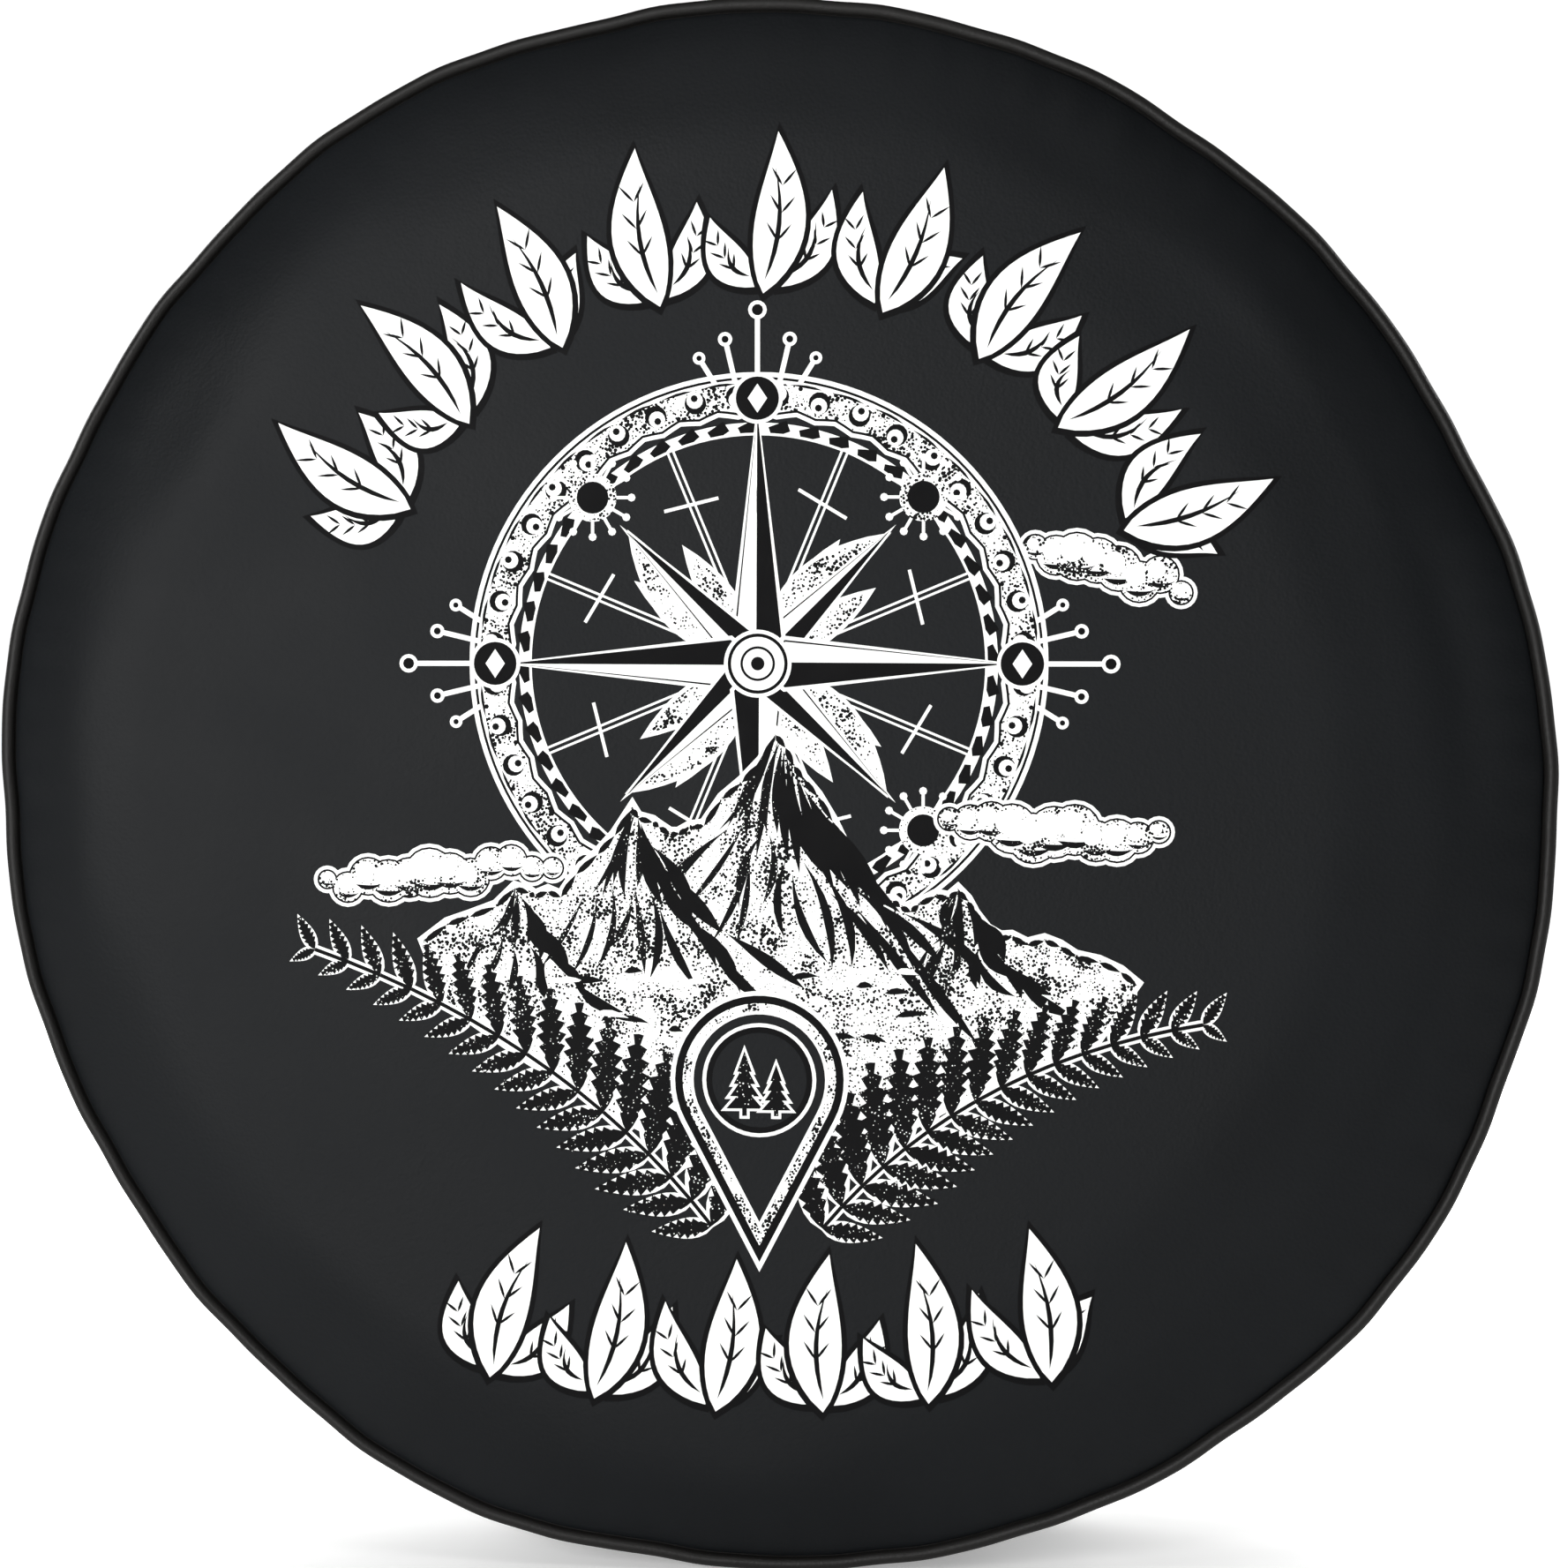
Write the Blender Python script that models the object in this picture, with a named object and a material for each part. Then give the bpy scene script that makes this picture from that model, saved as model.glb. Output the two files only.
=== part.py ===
"""A slip-on spare tyre cover: a flat vinyl face disc and a vinyl tread band, joined by a piped seam.

The band is made of two lengths sewn end to end. It runs over the tread and turns in over the rear
sidewall, where a binding tape with an elastic cord in it draws its free edge to a smaller ring. Every
vinyl panel has a soft fleece backing on the tyre side.

Axis of the cover along Y, face towards -Y, +Z up. The origin is the middle of the tyre's own space.
Off its tyre the cover folds flat: the hem slides forward to the face and the band crumples between.
"""

import math

import bmesh
import bpy
from mathutils import Vector

MM = 0.001
SIDES = 48  # facets round the cover
BULGE_STEPS = 5  # facets across the bulge of the face, from its flat disc to the seam
CORNER_STEPS = 2  # facets round a bend of a panel
TUBE_STEPS = 8  # facets round the piping and the binding

# The tyre space
TREAD_RADIUS = 365.7 * MM
SIDEWALL_Y = 112.4 * MM  # how far the widest part of each sidewall is from the middle plane
FLAT_RADIUS = 298 * MM  # the face lies flat inside this, across the bulge of the sidewall

# Sheet stock
VINYL = 1.0 * MM
BACKING = 0.6 * MM
TAPE = 0.7 * MM
GAP = 0.3 * MM  # left between layers that touch
PLY = VINYL / 2 + GAP + BACKING / 2  # from the middle of the vinyl to the middle of its backing

# Piped seam between face and band. Its allowances stand inwards as a fin behind the piping.
PIPING_RADIUS = 369.5 * MM
SEAM_Y = -92 * MM
PIPING_BORE = 2.5 * MM  # inner radius of the piping's cover
CORD_RADIUS = 2.2 * MM
FIN_ANGLE = math.radians(29)  # how far the fin leans to the rear of straight inwards
FIN_START = 3.6 * MM
FIN_END = 14 * MM
TAIL_STEP = 1 * MM  # each inner layer of the fin ends this much sooner
FOLD_BEND = 0.75 * MM
BACKING_FOLD = 5.8 * MM  # where the face's backing turns into the fin
STITCH_LINE = 9 * MM  # from the middle of the piping cord
THREAD = 0.5 * MM

# Tread band and its turn-in at the rear
CROWN_START = 14 * MM  # from the seam to where the band reaches the tread's radius
SHOULDER_START = 84 * MM
SHOULDER = (352 * MM, 107.5 * MM)
TURN_IN = (329 * MM, 113.6 * MM)
SHOULDER_BEND = 24 * MM
JOIN_ALLOWANCE = 5 * MM  # each row of stitches runs this far from the join

# Elastic hem
HEM_RADIUS = 259 * MM
HEM_Y = 112 * MM
ELASTIC_RADIUS = 2.0 * MM
CRIMP_BORE = 2.35 * MM
CRIMP_WALL = 0.5 * MM
CRIMP_LENGTH = 18 * MM
CRIMP_SLIT = 0.3  # half the angle that its edges leave open, in radians
BINDING_BORE = 3.25 * MM
BINDING_DEPTH = 17 * MM  # how far the binding reaches over the band's edge
HEM_ROW = 4 * MM  # from the binding's edge to its stitches

# Name: colour (linear), roughness, metallic
FINISHES = {
    "vinyl": ((0.022, 0.024, 0.026), 0.55, 0.0),
    "fleece": ((0.42, 0.42, 0.41), 0.95, 0.0),
    "filler": ((0.75, 0.74, 0.70), 0.8, 0.0),
    "thread": ((0.012, 0.012, 0.013), 0.6, 0.0),
    "binding": ((0.016, 0.017, 0.018), 0.85, 0.0),
    "elastic": ((0.03, 0.03, 0.03), 0.7, 0.0),
    "steel": ((0.55, 0.55, 0.56), 0.35, 1.0),
}


def material(finish):
    """A Principled material for one object."""
    colour, roughness, metallic = FINISHES[finish]
    made = bpy.data.materials.new(finish)
    made.use_nodes = True
    shader = made.node_tree.nodes["Principled BSDF"]
    shader.inputs["Base Color"].default_value = (*colour, 1.0)
    shader.inputs["Roughness"].default_value = roughness
    shader.inputs["Metallic"].default_value = metallic
    return made


# Sections are drawn in a half plane through the axis, as points (distance from axis, Y).


def arc(centre, radius, first, last, steps):
    """Points on a circle of a section, from one angle to another, in radians."""
    cx, cy = centre
    turns = [first + (last - first) * i / steps for i in range(steps + 1)]
    return [(cx + radius * math.cos(t), cy + radius * math.sin(t)) for t in turns]


def rounded(points, radius, steps):
    """The path with each inner corner turned into an arc of this radius."""
    path = [points[0]]
    for before, corner, after in zip(points, points[1:], points[2:]):
        here = Vector(corner)
        back = (Vector(before) - here).normalized()
        ahead = (Vector(after) - here).normalized()
        half = back.angle(ahead) / 2
        centre = here + (back + ahead).normalized() * radius / math.sin(half)
        first = here + back * radius / math.tan(half) - centre
        last = here + ahead * radius / math.tan(half) - centre
        turn = first.angle_signed(last)
        start = math.atan2(first.y, first.x)
        path += arc(centre, radius, start, start - turn, steps)
    return path + [points[-1]]


def shifted(path, distance):
    """The path moved sideways by a distance, to the left of its own direction, with mitred corners."""
    moved = []
    for i, point in enumerate(path):
        here = Vector(point)
        into = (here - Vector(path[i - 1])).normalized() if i else None
        out = (Vector(path[i + 1]) - here).normalized() if i + 1 < len(path) else None
        into, out = into or out, out or into
        across = Vector((-(into + out).y, (into + out).x)).normalized()
        side = Vector((-into.y, into.x))
        moved.append(tuple(here + across * distance / across.dot(side)))
    return moved


def strip(path, thickness):
    """The closed outline of a strip whose middle runs along the path."""
    return shifted(path, thickness / 2) + shifted(path, -thickness / 2)[::-1]


def bar(centre, size):
    """A small square outline, for a run of thread."""
    cx, cy = centre
    h = size / 2
    return [(cx - h, cy - h), (cx + h, cy - h), (cx + h, cy + h), (cx - h, cy + h)]


def placed(radius, y, angle):
    """A section point carried round the axis by an angle from straight up."""
    return (radius * math.sin(angle), y, radius * math.cos(angle))


def named_object(name, bm, finish, parent=None):
    """The bmesh as an object of its own, smooth where it is round."""
    bmesh.ops.recalc_face_normals(bm, faces=bm.faces)
    mesh = bpy.data.meshes.new(name)
    bm.to_mesh(mesh)
    bm.free()
    mesh.shade_smooth()
    mesh.set_sharp_from_angle(angle=math.radians(35))
    mesh.materials.append(material(finish))
    made = bpy.data.objects.new(name, mesh)
    made.parent = parent
    bpy.context.collection.objects.link(made)
    return made


def turned(name, outline, finish, start=0.0, stop=math.tau, steps=SIDES, parent=None):
    """A closed outline carried round the Y axis, all the way or over a part of the turn."""
    bm = bmesh.new()
    verts = [bm.verts.new(placed(radius, y, start)) for radius, y in outline]
    on_axis = [radius < 1e-9 for radius, _ in outline]
    edges = [
        bm.edges.new((verts[i - 1], verts[i]))
        for i in range(len(verts))
        if not (on_axis[i - 1] and on_axis[i])
    ]
    whole = math.isclose(stop - start, math.tau)
    spun = bmesh.ops.spin(
        bm, geom=verts + edges, cent=(0, 0, 0), axis=(0, 1, 0), angle=stop - start, steps=steps
    )
    if not whole:
        last = [item for item in spun["geom_last"] if isinstance(item, bmesh.types.BMEdge)]
        bmesh.ops.contextual_create(bm, geom=edges)
        bmesh.ops.contextual_create(bm, geom=last)
    bmesh.ops.remove_doubles(bm, verts=bm.verts, dist=1e-6)
    return named_object(name, bm, finish, parent)


def extruded(name, outline, finish, low, high, parent):
    """An outline at the bottom of the ring, run straight along X from low to high."""
    bm = bmesh.new()
    face = bm.faces.new([bm.verts.new((low, y, -radius)) for radius, y in outline])
    grown = bmesh.ops.extrude_face_region(bm, geom=[face])["geom"]
    moved = [item for item in grown if isinstance(item, bmesh.types.BMVert)]
    bmesh.ops.translate(bm, verts=moved, vec=(high - low, 0, 0))
    return named_object(name, bm, finish, parent)


def fin_point(inwards, rearwards):
    """A point of the seam fin, from the middle of the piping cord."""
    along = Vector((-math.cos(FIN_ANGLE), math.sin(FIN_ANGLE)))
    across = Vector((math.sin(FIN_ANGLE), math.cos(FIN_ANGLE)))
    return tuple(Vector((PIPING_RADIUS, SEAM_Y)) + along * inwards + across * rearwards)


def fin_meets(radius, rearwards):
    """The point of a fin layer that is this far from the axis."""
    inwards = (PIPING_RADIUS + rearwards * math.sin(FIN_ANGLE) - radius) / math.cos(FIN_ANGLE)
    return fin_point(inwards, rearwards)


# Middle of each fin layer, counted from the middle of the fin
TAIL_LAYER = GAP / 2 + TAPE / 2
VINYL_LAYER = GAP / 2 + TAPE + GAP + VINYL / 2
BACKING_LAYER = VINYL_LAYER + PLY
FIN_SURFACE = BACKING_LAYER + BACKING / 2


def face_path():
    """Middle of the face vinyl, from the axis out over the sidewall and in along the fin."""
    level = -(SIDEWALL_Y + BACKING + GAP + VINYL / 2)
    fold = Vector(fin_point(FIN_START, -VINYL_LAYER))
    run = fold - Vector((FLAT_RADIUS, level))
    bend = run.length_squared / (2 * run.y)
    centre = (FLAT_RADIUS, level + bend)
    sweep = math.asin(run.x / bend)
    quarter = math.pi / 2
    curve = arc(centre, bend, -quarter, sweep - quarter, BULGE_STEPS)
    return [(0.0, level)] + curve[:-1] + fold_over(curve[-2], fold, fin_point(FIN_END, -VINYL_LAYER))


def fold_over(before, corner, after):
    """The tight fold of a panel into the fin, without the point that it comes from."""
    return rounded([before, corner, after], FOLD_BEND, CORNER_STEPS)[1:]


def band_path():
    """Middle of the band vinyl, from the end of the fin over the tread to its free edge."""
    radius = TREAD_RADIUS + BACKING + GAP + VINYL / 2
    corner = fin_meets(radius, VINYL_LAYER)
    crown = (radius, SEAM_Y + CROWN_START)
    edge = (HEM_RADIUS + ELASTIC_RADIUS + 4 * GAP, HEM_Y + GAP / 2 + BACKING / 2)
    fold = fold_over(crown, corner, fin_point(FIN_END, VINYL_LAYER))[::-1]
    corners = [crown, (radius, SHOULDER_START), SHOULDER, TURN_IN, edge]
    return fold + rounded(corners, SHOULDER_BEND, CORNER_STEPS)


def make_face():
    path = face_path()
    turned("face_panel", strip(path, VINYL), "vinyl")
    inner = shifted(path, PLY)
    fold = fin_point(BACKING_FOLD, -BACKING_LAYER)
    over = inner[: BULGE_STEPS + 1]
    tail = fin_point(FIN_END - TAIL_STEP, -BACKING_LAYER)
    turned("face_backing", strip(over + [fold, tail], BACKING), "fleece")


def make_piping():
    wall = PIPING_BORE + TAPE / 2
    neck = math.asin(TAIL_LAYER / wall)
    inwards = math.pi - FIN_ANGLE
    centre = (PIPING_RADIUS, SEAM_Y)
    loop = arc(centre, wall, inwards + neck, inwards - neck + math.tau, TUBE_STEPS)
    front = fin_point(FIN_END - 2 * TAIL_STEP, -TAIL_LAYER)
    rear = fin_point(FIN_END - 2 * TAIL_STEP, TAIL_LAYER)
    turned("welt_cover", strip([front, *loop, rear], TAPE), "vinyl")
    turned("welt_cord", arc(centre, CORD_RADIUS, 0, math.tau * 5 / 6, 5), "filler")
    reach = FIN_SURFACE + GAP + THREAD / 2
    turned("seam_needle_thread", bar(fin_point(STITCH_LINE, -reach), THREAD), "thread")
    turned("seam_bobbin_thread", bar(fin_point(STITCH_LINE, reach), THREAD), "thread")


def band_backing_path():
    """Middle of the backing inside the band. It turns into the fin in one sharp corner."""
    run = shifted(band_path(), PLY)[4:]
    tail = fin_point(FIN_END - TAIL_STEP, BACKING_LAYER)
    return [tail, fin_meets(run[0][0], BACKING_LAYER)] + run


def make_band():
    path = band_path()
    inner = band_backing_path()
    slit = GAP / 2 / TREAD_RADIUS
    quarter = math.pi / 2
    halves = {"upper": -quarter, "lower": quarter}
    for half, start in halves.items():
        span = (start + slit, start + math.pi - slit, SIDES // 2)
        turned(f"side_band_{half}", strip(path, VINYL), "vinyl", *span)
        turned(f"band_backing_{half}", strip(inner, BACKING), "fleece", *span)


def make_join_threads():
    """Two rows of stitches beside each join of the band, on its outer face."""
    run = shifted(band_path()[4:], -(VINYL / 2 + GAP + THREAD / 2))
    outline = strip(run[:-1], THREAD)
    for side, sign in {"right": 1, "left": -1}.items():
        for row, height in {"high": JOIN_ALLOWANCE, "low": -JOIN_ALLOWANCE}.items():
            bm = bmesh.new()
            ring = [bm.verts.new((sign * r, y, height - THREAD / 2)) for r, y in outline]
            grown = bmesh.ops.extrude_face_region(bm, geom=[bm.faces.new(ring)])["geom"]
            moved = [item for item in grown if isinstance(item, bmesh.types.BMVert)]
            bmesh.ops.translate(bm, verts=moved, vec=(0, 0, THREAD))
            named_object(f"join_thread_{side}_{row}", bm, "thread")


def make_hem():
    """The binding, its elastic and its stitches, which move together when the cover folds flat."""
    axis = bpy.data.objects.new("hem_axis", None)
    axis.location = (0, HEM_Y, 0)
    bpy.context.collection.objects.link(axis)
    centre = (HEM_RADIUS, 0.0)
    wall = BINDING_BORE + TAPE / 2
    leg = VINYL / 2 + GAP + BACKING / 2 + GAP + TAPE / 2
    neck = math.asin(leg / wall)
    half_facet = math.pi / SIDES
    loop = arc(centre, wall, neck, math.tau - neck, TUBE_STEPS)
    ends = [(HEM_RADIUS + BINDING_DEPTH, leg), (HEM_RADIUS + BINDING_DEPTH, -leg)]
    ring = {"start": half_facet, "stop": half_facet + math.tau, "parent": axis}
    turned("hem_binding", strip([ends[0], *loop, ends[1]], TAPE), "binding", **ring)
    row = HEM_RADIUS + BINDING_DEPTH - HEM_ROW
    reach = leg + TAPE / 2 + GAP + THREAD / 2
    turned("hem_needle_thread", bar((row, reach), THREAD), "thread", **ring)
    turned("hem_bobbin_thread", bar((row, -reach), THREAD), "thread", **ring)
    make_elastic(axis, half_facet)
    chord = HEM_RADIUS * math.cos(half_facet)
    crimp = arc((chord, 0.0), CRIMP_BORE + CRIMP_WALL / 2, CRIMP_SLIT, math.tau - CRIMP_SLIT, TUBE_STEPS)
    reach = CRIMP_LENGTH / 2
    extruded("elastic_crimp", strip(crimp, CRIMP_WALL), "steel", -reach, reach, axis)


def make_elastic(axis, half_facet):
    """A cord whose ends meet in the crimp, at the bottom of the ring."""
    level = HEM_RADIUS * math.cos(half_facet)
    turns = [math.pi + half_facet * (2 * i + 1) for i in range(SIDES)]
    ring = [placed(HEM_RADIUS, 0.0, turn) for turn in turns]
    points = [(-GAP, 0.0, -level), *ring, (GAP, 0.0, -level)]
    curve = bpy.data.curves.new("elastic_cord", "CURVE")
    curve.dimensions = "3D"
    curve.bevel_depth = ELASTIC_RADIUS
    curve.bevel_resolution = 2
    curve.use_fill_caps = True
    spline = curve.splines.new("POLY")
    spline.points.add(len(points) - 1)
    for point, place in zip(spline.points, points):
        point.co = (*place, 1.0)
    curve.materials.append(material("elastic"))
    cord = bpy.data.objects.new("elastic_cord", curve)
    cord.parent = axis
    bpy.context.collection.objects.link(cord)


def main():
    for old in list(bpy.data.objects):
        bpy.data.objects.remove(old)
    make_face()
    make_piping()
    make_band()
    make_join_threads()
    make_hem()


main()
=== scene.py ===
"""The finished look of a printed vinyl spare tyre cover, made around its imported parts."""

import math
import random

import bpy
import numpy as np
from bpy.props import FloatProperty, FloatVectorProperty, IntProperty, PointerProperty
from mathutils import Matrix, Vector
from mathutils.geometry import delaunay_2d_cdt


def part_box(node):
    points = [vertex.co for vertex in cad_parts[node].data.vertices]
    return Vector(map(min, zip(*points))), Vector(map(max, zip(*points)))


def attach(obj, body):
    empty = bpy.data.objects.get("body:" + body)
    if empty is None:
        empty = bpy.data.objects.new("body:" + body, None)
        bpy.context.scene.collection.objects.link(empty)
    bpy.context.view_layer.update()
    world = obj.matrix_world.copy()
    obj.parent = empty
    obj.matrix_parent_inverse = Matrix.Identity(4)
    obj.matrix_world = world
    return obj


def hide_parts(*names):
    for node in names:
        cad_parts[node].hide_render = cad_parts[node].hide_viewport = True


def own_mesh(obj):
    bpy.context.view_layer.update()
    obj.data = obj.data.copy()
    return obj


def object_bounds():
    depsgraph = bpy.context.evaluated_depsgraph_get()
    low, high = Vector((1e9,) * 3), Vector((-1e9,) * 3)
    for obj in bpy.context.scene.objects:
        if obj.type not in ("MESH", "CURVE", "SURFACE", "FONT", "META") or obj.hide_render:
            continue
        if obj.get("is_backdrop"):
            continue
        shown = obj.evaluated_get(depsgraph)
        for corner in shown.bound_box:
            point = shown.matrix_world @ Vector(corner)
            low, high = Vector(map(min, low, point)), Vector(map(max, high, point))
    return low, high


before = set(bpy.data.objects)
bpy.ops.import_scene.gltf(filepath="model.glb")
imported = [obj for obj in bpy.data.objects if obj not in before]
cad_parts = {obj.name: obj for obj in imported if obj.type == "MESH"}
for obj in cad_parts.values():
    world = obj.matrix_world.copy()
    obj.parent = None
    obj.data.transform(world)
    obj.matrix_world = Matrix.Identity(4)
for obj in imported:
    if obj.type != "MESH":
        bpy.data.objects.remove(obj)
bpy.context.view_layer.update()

bl_info = {
    "name": "Spare tyre cover",
    "version": (1, 0, 0),
    "blender": (4, 5, 0),
    "location": "3D View > Sidebar > Cover",
    "description": "Sews a printed vinyl spare tyre cover with piping and an elastic hem",
    "category": "Object",
}

MM = 0.001
FRONT, HEM = "front", "rear_hem"
SEAM_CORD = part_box("welt_cord")
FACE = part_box("face_panel")
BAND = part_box("side_band_upper")
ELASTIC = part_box("elastic_cord")


def linear(code):
    """An sRGB hex value as linear red, green and blue."""
    parts = [(code >> shift & 255) / 255 for shift in (16, 8, 0)]
    return tuple(p / 12.92 if p <= 0.04045 else ((p + 0.055) / 1.055) ** 2.4 for p in parts)


def length(name, description, default):
    return FloatProperty(name=name, description=description, default=default, min=0, unit="LENGTH")


def colour(name, description, code):
    return FloatVectorProperty(
        name=name, description=description, default=linear(code), subtype="COLOR", min=0, max=1
    )


class CoverSizes(bpy.types.PropertyGroup):
    """Thicknesses, counts and places that a sewer of covers would choose."""

    columns: IntProperty(name="Columns", description="Mesh columns round the cover", default=600)
    vinyl: length("Vinyl", "Thickness of the coated fabric", 1.0 * MM)
    fleece: length("Fleece", "Thickness of the soft backing", 0.6 * MM)
    tape: length("Tape", "Thickness of the piping's and the hem's strips", 0.7 * MM)
    lay: length("Lay", "Air left between two layers that touch", 0.08 * MM)
    cord: length("Piping cord", "Radius of the filler inside the piping", 2.3 * MM)
    flat: length("Flat face", "Radius inside which the face lies flat", 298 * MM)
    fin: length("Seam allowance", "How far the seam's edges reach in behind the piping", 12 * MM)
    hem: length("Hem radius", "Radius of the elastic cord's ring", 259 * MM)
    bore: length("Hem bore", "Radius of the space for the elastic in the binding", 3.1 * MM)
    binding: length("Binding", "How far the binding reaches over the band's edge", 17 * MM)
    gathers: IntProperty(name="Gathers", description="Folds that the elastic draws in", default=72)
    gather: length("Gather height", "Height of a fold at the hem", 5.4 * MM)
    stitch: length("Stitch", "Length of one stitch", 4.0 * MM)
    thread: length("Thread", "Diameter of the sewing thread", 0.55 * MM)
    film: length("Ink film", "Thickness of the printed ink", 0.08 * MM)


class CoverColours(bpy.types.PropertyGroup):
    """Colours of the cover's stock."""

    vinyl: colour("Vinyl", "Black coated fabric", 0x0F1113)
    piping: colour("Piping", "Black piping strip", 0x161514)
    fleece: colour("Fleece", "Undyed grey backing", 0x9C9C98)
    filler: colour("Filler", "Piping cord", 0xD8D4C8)
    thread: colour("Thread", "Bonded sewing thread", 0x1B1B1D)
    tape: colour("Binding", "Woven hem tape", 0x121315)
    elastic: colour("Elastic", "Braided cover of the elastic", 0x232325)
    white: colour("White ink", "Opaque white of the artwork", 0xF6F6F4)
    black: colour("Black ink", "Dense black of the artwork", 0x060607)
    floor: colour("Floor", "Seamless studio paper", 0xF2F2F1)


def sizes():
    return bpy.context.scene.cover_sizes


def colours():
    return bpy.context.scene.cover_colours


# ---------------------------------------------------------------- shape of the fitted cover

PIPING_RADIUS = SEAM_CORD[1].x - 2.2 * MM
SEAM_Y = (SEAM_CORD[0].y + SEAM_CORD[1].y) / 2
FACE_Y = FACE[0].y + 0.5 * MM  # middle of the face vinyl
BAND_RADIUS = BAND[1].z - 0.5 * MM
HEM_Y = (ELASTIC[0].y + ELASTIC[1].y) / 2
EDGE_BACK = 0.4 * MM  # the band's edge lies this far to the rear of the elastic's middle
PIPING_BACK = 3.5 * MM  # from the middle of the piping to where panels fold into the fin
FIN_ANGLE = math.radians(29)
QUARTER = math.pi / 2

# Where the outline is pulled in or stands out: clock angle in degrees, millimetres, width in degrees
PULLS = ((54, -7.2, 22), (135, 6.0, 30), (202, 3.0, 14), (243, -4.0, 19), (330, 3.6, 24), (92, -1.5, 10))
# Smaller waves of the sewn edge: number round the cover, millimetres, phase
EDGE_WAVES = ((9, 0.8, 0.4), (14, 0.55, 2.1), (23, 0.4, 4.0), (41, 0.22, 1.2), (67, 0.12, 5.0))
# Soft dents of the face where it bends back to the seam: number round the cover, millimetres, phase
RING_WAVES = ((3, 0.8, 2.6), (5, 0.9, 0.7), (8, 0.7, 3.9), (13, 0.45, 1.8), (22, 0.25, 5.2))


def smooth(share):
    """0 below 0 and 1 above 1, with an even S between."""
    t = np.clip(share, 0.0, 1.0)
    return t * t * (3 - 2 * t)


def waves(turn, table):
    return sum(high * MM * np.sin(count * turn + phase) for count, high, phase in table)


def outline(turn):
    """How far the sewn outline stands out from a true circle."""
    total = waves(turn, EDGE_WAVES)
    for clock, high, wide in PULLS:
        away = (np.degrees(turn) - clock + 180) % 360 - 180
        total = total + high * MM * np.exp(-((away / wide) ** 2))
    return total


def face_dents(x, z):
    """How far the face stands to the rear of an even surface."""
    radius, turn = np.hypot(x, z), np.arctan2(x, z)
    ring = np.exp(-(((radius - 0.331) / 0.017) ** 2)) * waves(turn, RING_WAVES)
    pucker = smooth((radius - 0.335) / 0.02) * 0.22 * MM * np.sin(96 * turn + 2 * np.sin(5 * turn))
    slack = 0.45 * MM * (np.sin(23 * x + 1.7) * np.sin(19 * z + 0.6) + 0.6 * np.sin(31 * z - 17 * x))
    early = smooth((radius - 0.262) / 0.05) * smooth((0.364 - radius) / 0.04)
    early = early * smooth(0.5 + 0.5 * np.sin(turn)) ** 2  # the right side bends back sooner
    return (
        ring
        + 4.5 * MM * early
        + pucker * smooth((0.366 - radius) / 0.006)
        + slack * smooth((0.33 - radius) / 0.08)
    )


def fitted(points):
    """Where points of the evenly turned cover lie once it is pulled over a tyre."""
    x, y, z = points.T
    radius, turn = np.hypot(x, z), np.arctan2(x, z)
    rim = smooth((radius - 0.300) / 0.058) * smooth((0.055 - y) / 0.13)
    on_face = smooth((SEAM_Y + 2 * MM - y) / (4 * MM))
    moved = radius + rim * outline(turn)
    return np.stack(
        [moved * np.sin(turn), y + on_face * face_dents(x, z), moved * np.cos(turn)], axis=1
    )


def gather_wave(turn, count, phase=0.0):
    """Uneven folds, from about -1 to 1, and how far each leans to a side."""
    pace = count * turn + 1.1 * np.sin(3 * turn + 0.5 + phase) + 0.8 * np.sin(7 * turn + 2.2)
    high = 0.78 + 0.16 * np.sin(11 * turn + 1.0 + phase) + 0.12 * np.sin(17 * turn + 4.1)
    return high * (np.sin(pace) + 0.18 * np.sin(2 * pace + 0.9)), np.cos(pace)


def gathered(points):
    """Points of the band, slack over the tread and pushed into folds where the elastic draws it in."""
    s = sizes()
    x, y, z = points.T
    radius, turn = np.hypot(x, z), np.arctan2(x, z)
    rear = smooth((y - 0.06) / 0.03)
    bound = 1 - smooth((radius - s.hem - s.binding) / 0.02)
    free = 1 - 0.97 * bound
    share = free * smooth((0.362 - radius) / 0.075) * rear
    fold, lean = gather_wave(turn, s.gathers)
    broad, _ = gather_wave(turn, round(s.gathers / 2.4), 1.3)
    wide = smooth((0.372 - radius) / 0.035) * smooth((radius - 0.28) / 0.04) * rear
    out = s.gather * (share * (fold + 0.35) + 0.42 * wide * broad)
    side = turn + share * 1.6 * MM * lean / s.hem
    outer = smooth((radius - 0.35) / 0.012)
    tread = outer * smooth((y - SEAM_Y - 9 * MM) / 0.05)
    slack = 1.1 * np.sin(9 * turn + 26 * y + 0.8) + 0.7 * np.sin(21 * turn - 38 * y + 2.0)
    slack = slack + 0.5 * np.sin(34 * turn + 55 * y + 4.0)
    by_seam = np.exp(-(((y - SEAM_Y - 11 * MM) / 0.011) ** 2))
    pucker = by_seam * 0.3 * np.sin(110 * turn + 3 * np.sin(6 * turn))
    reach = radius + MM * (tread * slack + pucker * smooth((radius - 0.36) / 0.004))
    reach = reach + 1.1 * MM * bound * rear * fold  # inside the binding the puckers are radial
    joined = np.exp(-((z / (8.5 * MM)) ** 4)) * 0.55 * MM  # the joins lie a little proud
    reach = reach + joined * outer * smooth((y - SEAM_Y - 6 * MM) / 0.01)
    away = y + out + joined * smooth((0.36 - radius) / 0.012) * rear
    return np.stack([reach * np.sin(side), away, reach * np.cos(side)], axis=1)


def arc(centre, radius, first, last, steps):
    cx, cy = centre
    turns = [first + (last - first) * i / steps for i in range(steps + 1)]
    return [(cx + radius * math.cos(t), cy + radius * math.sin(t)) for t in turns]


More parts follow.
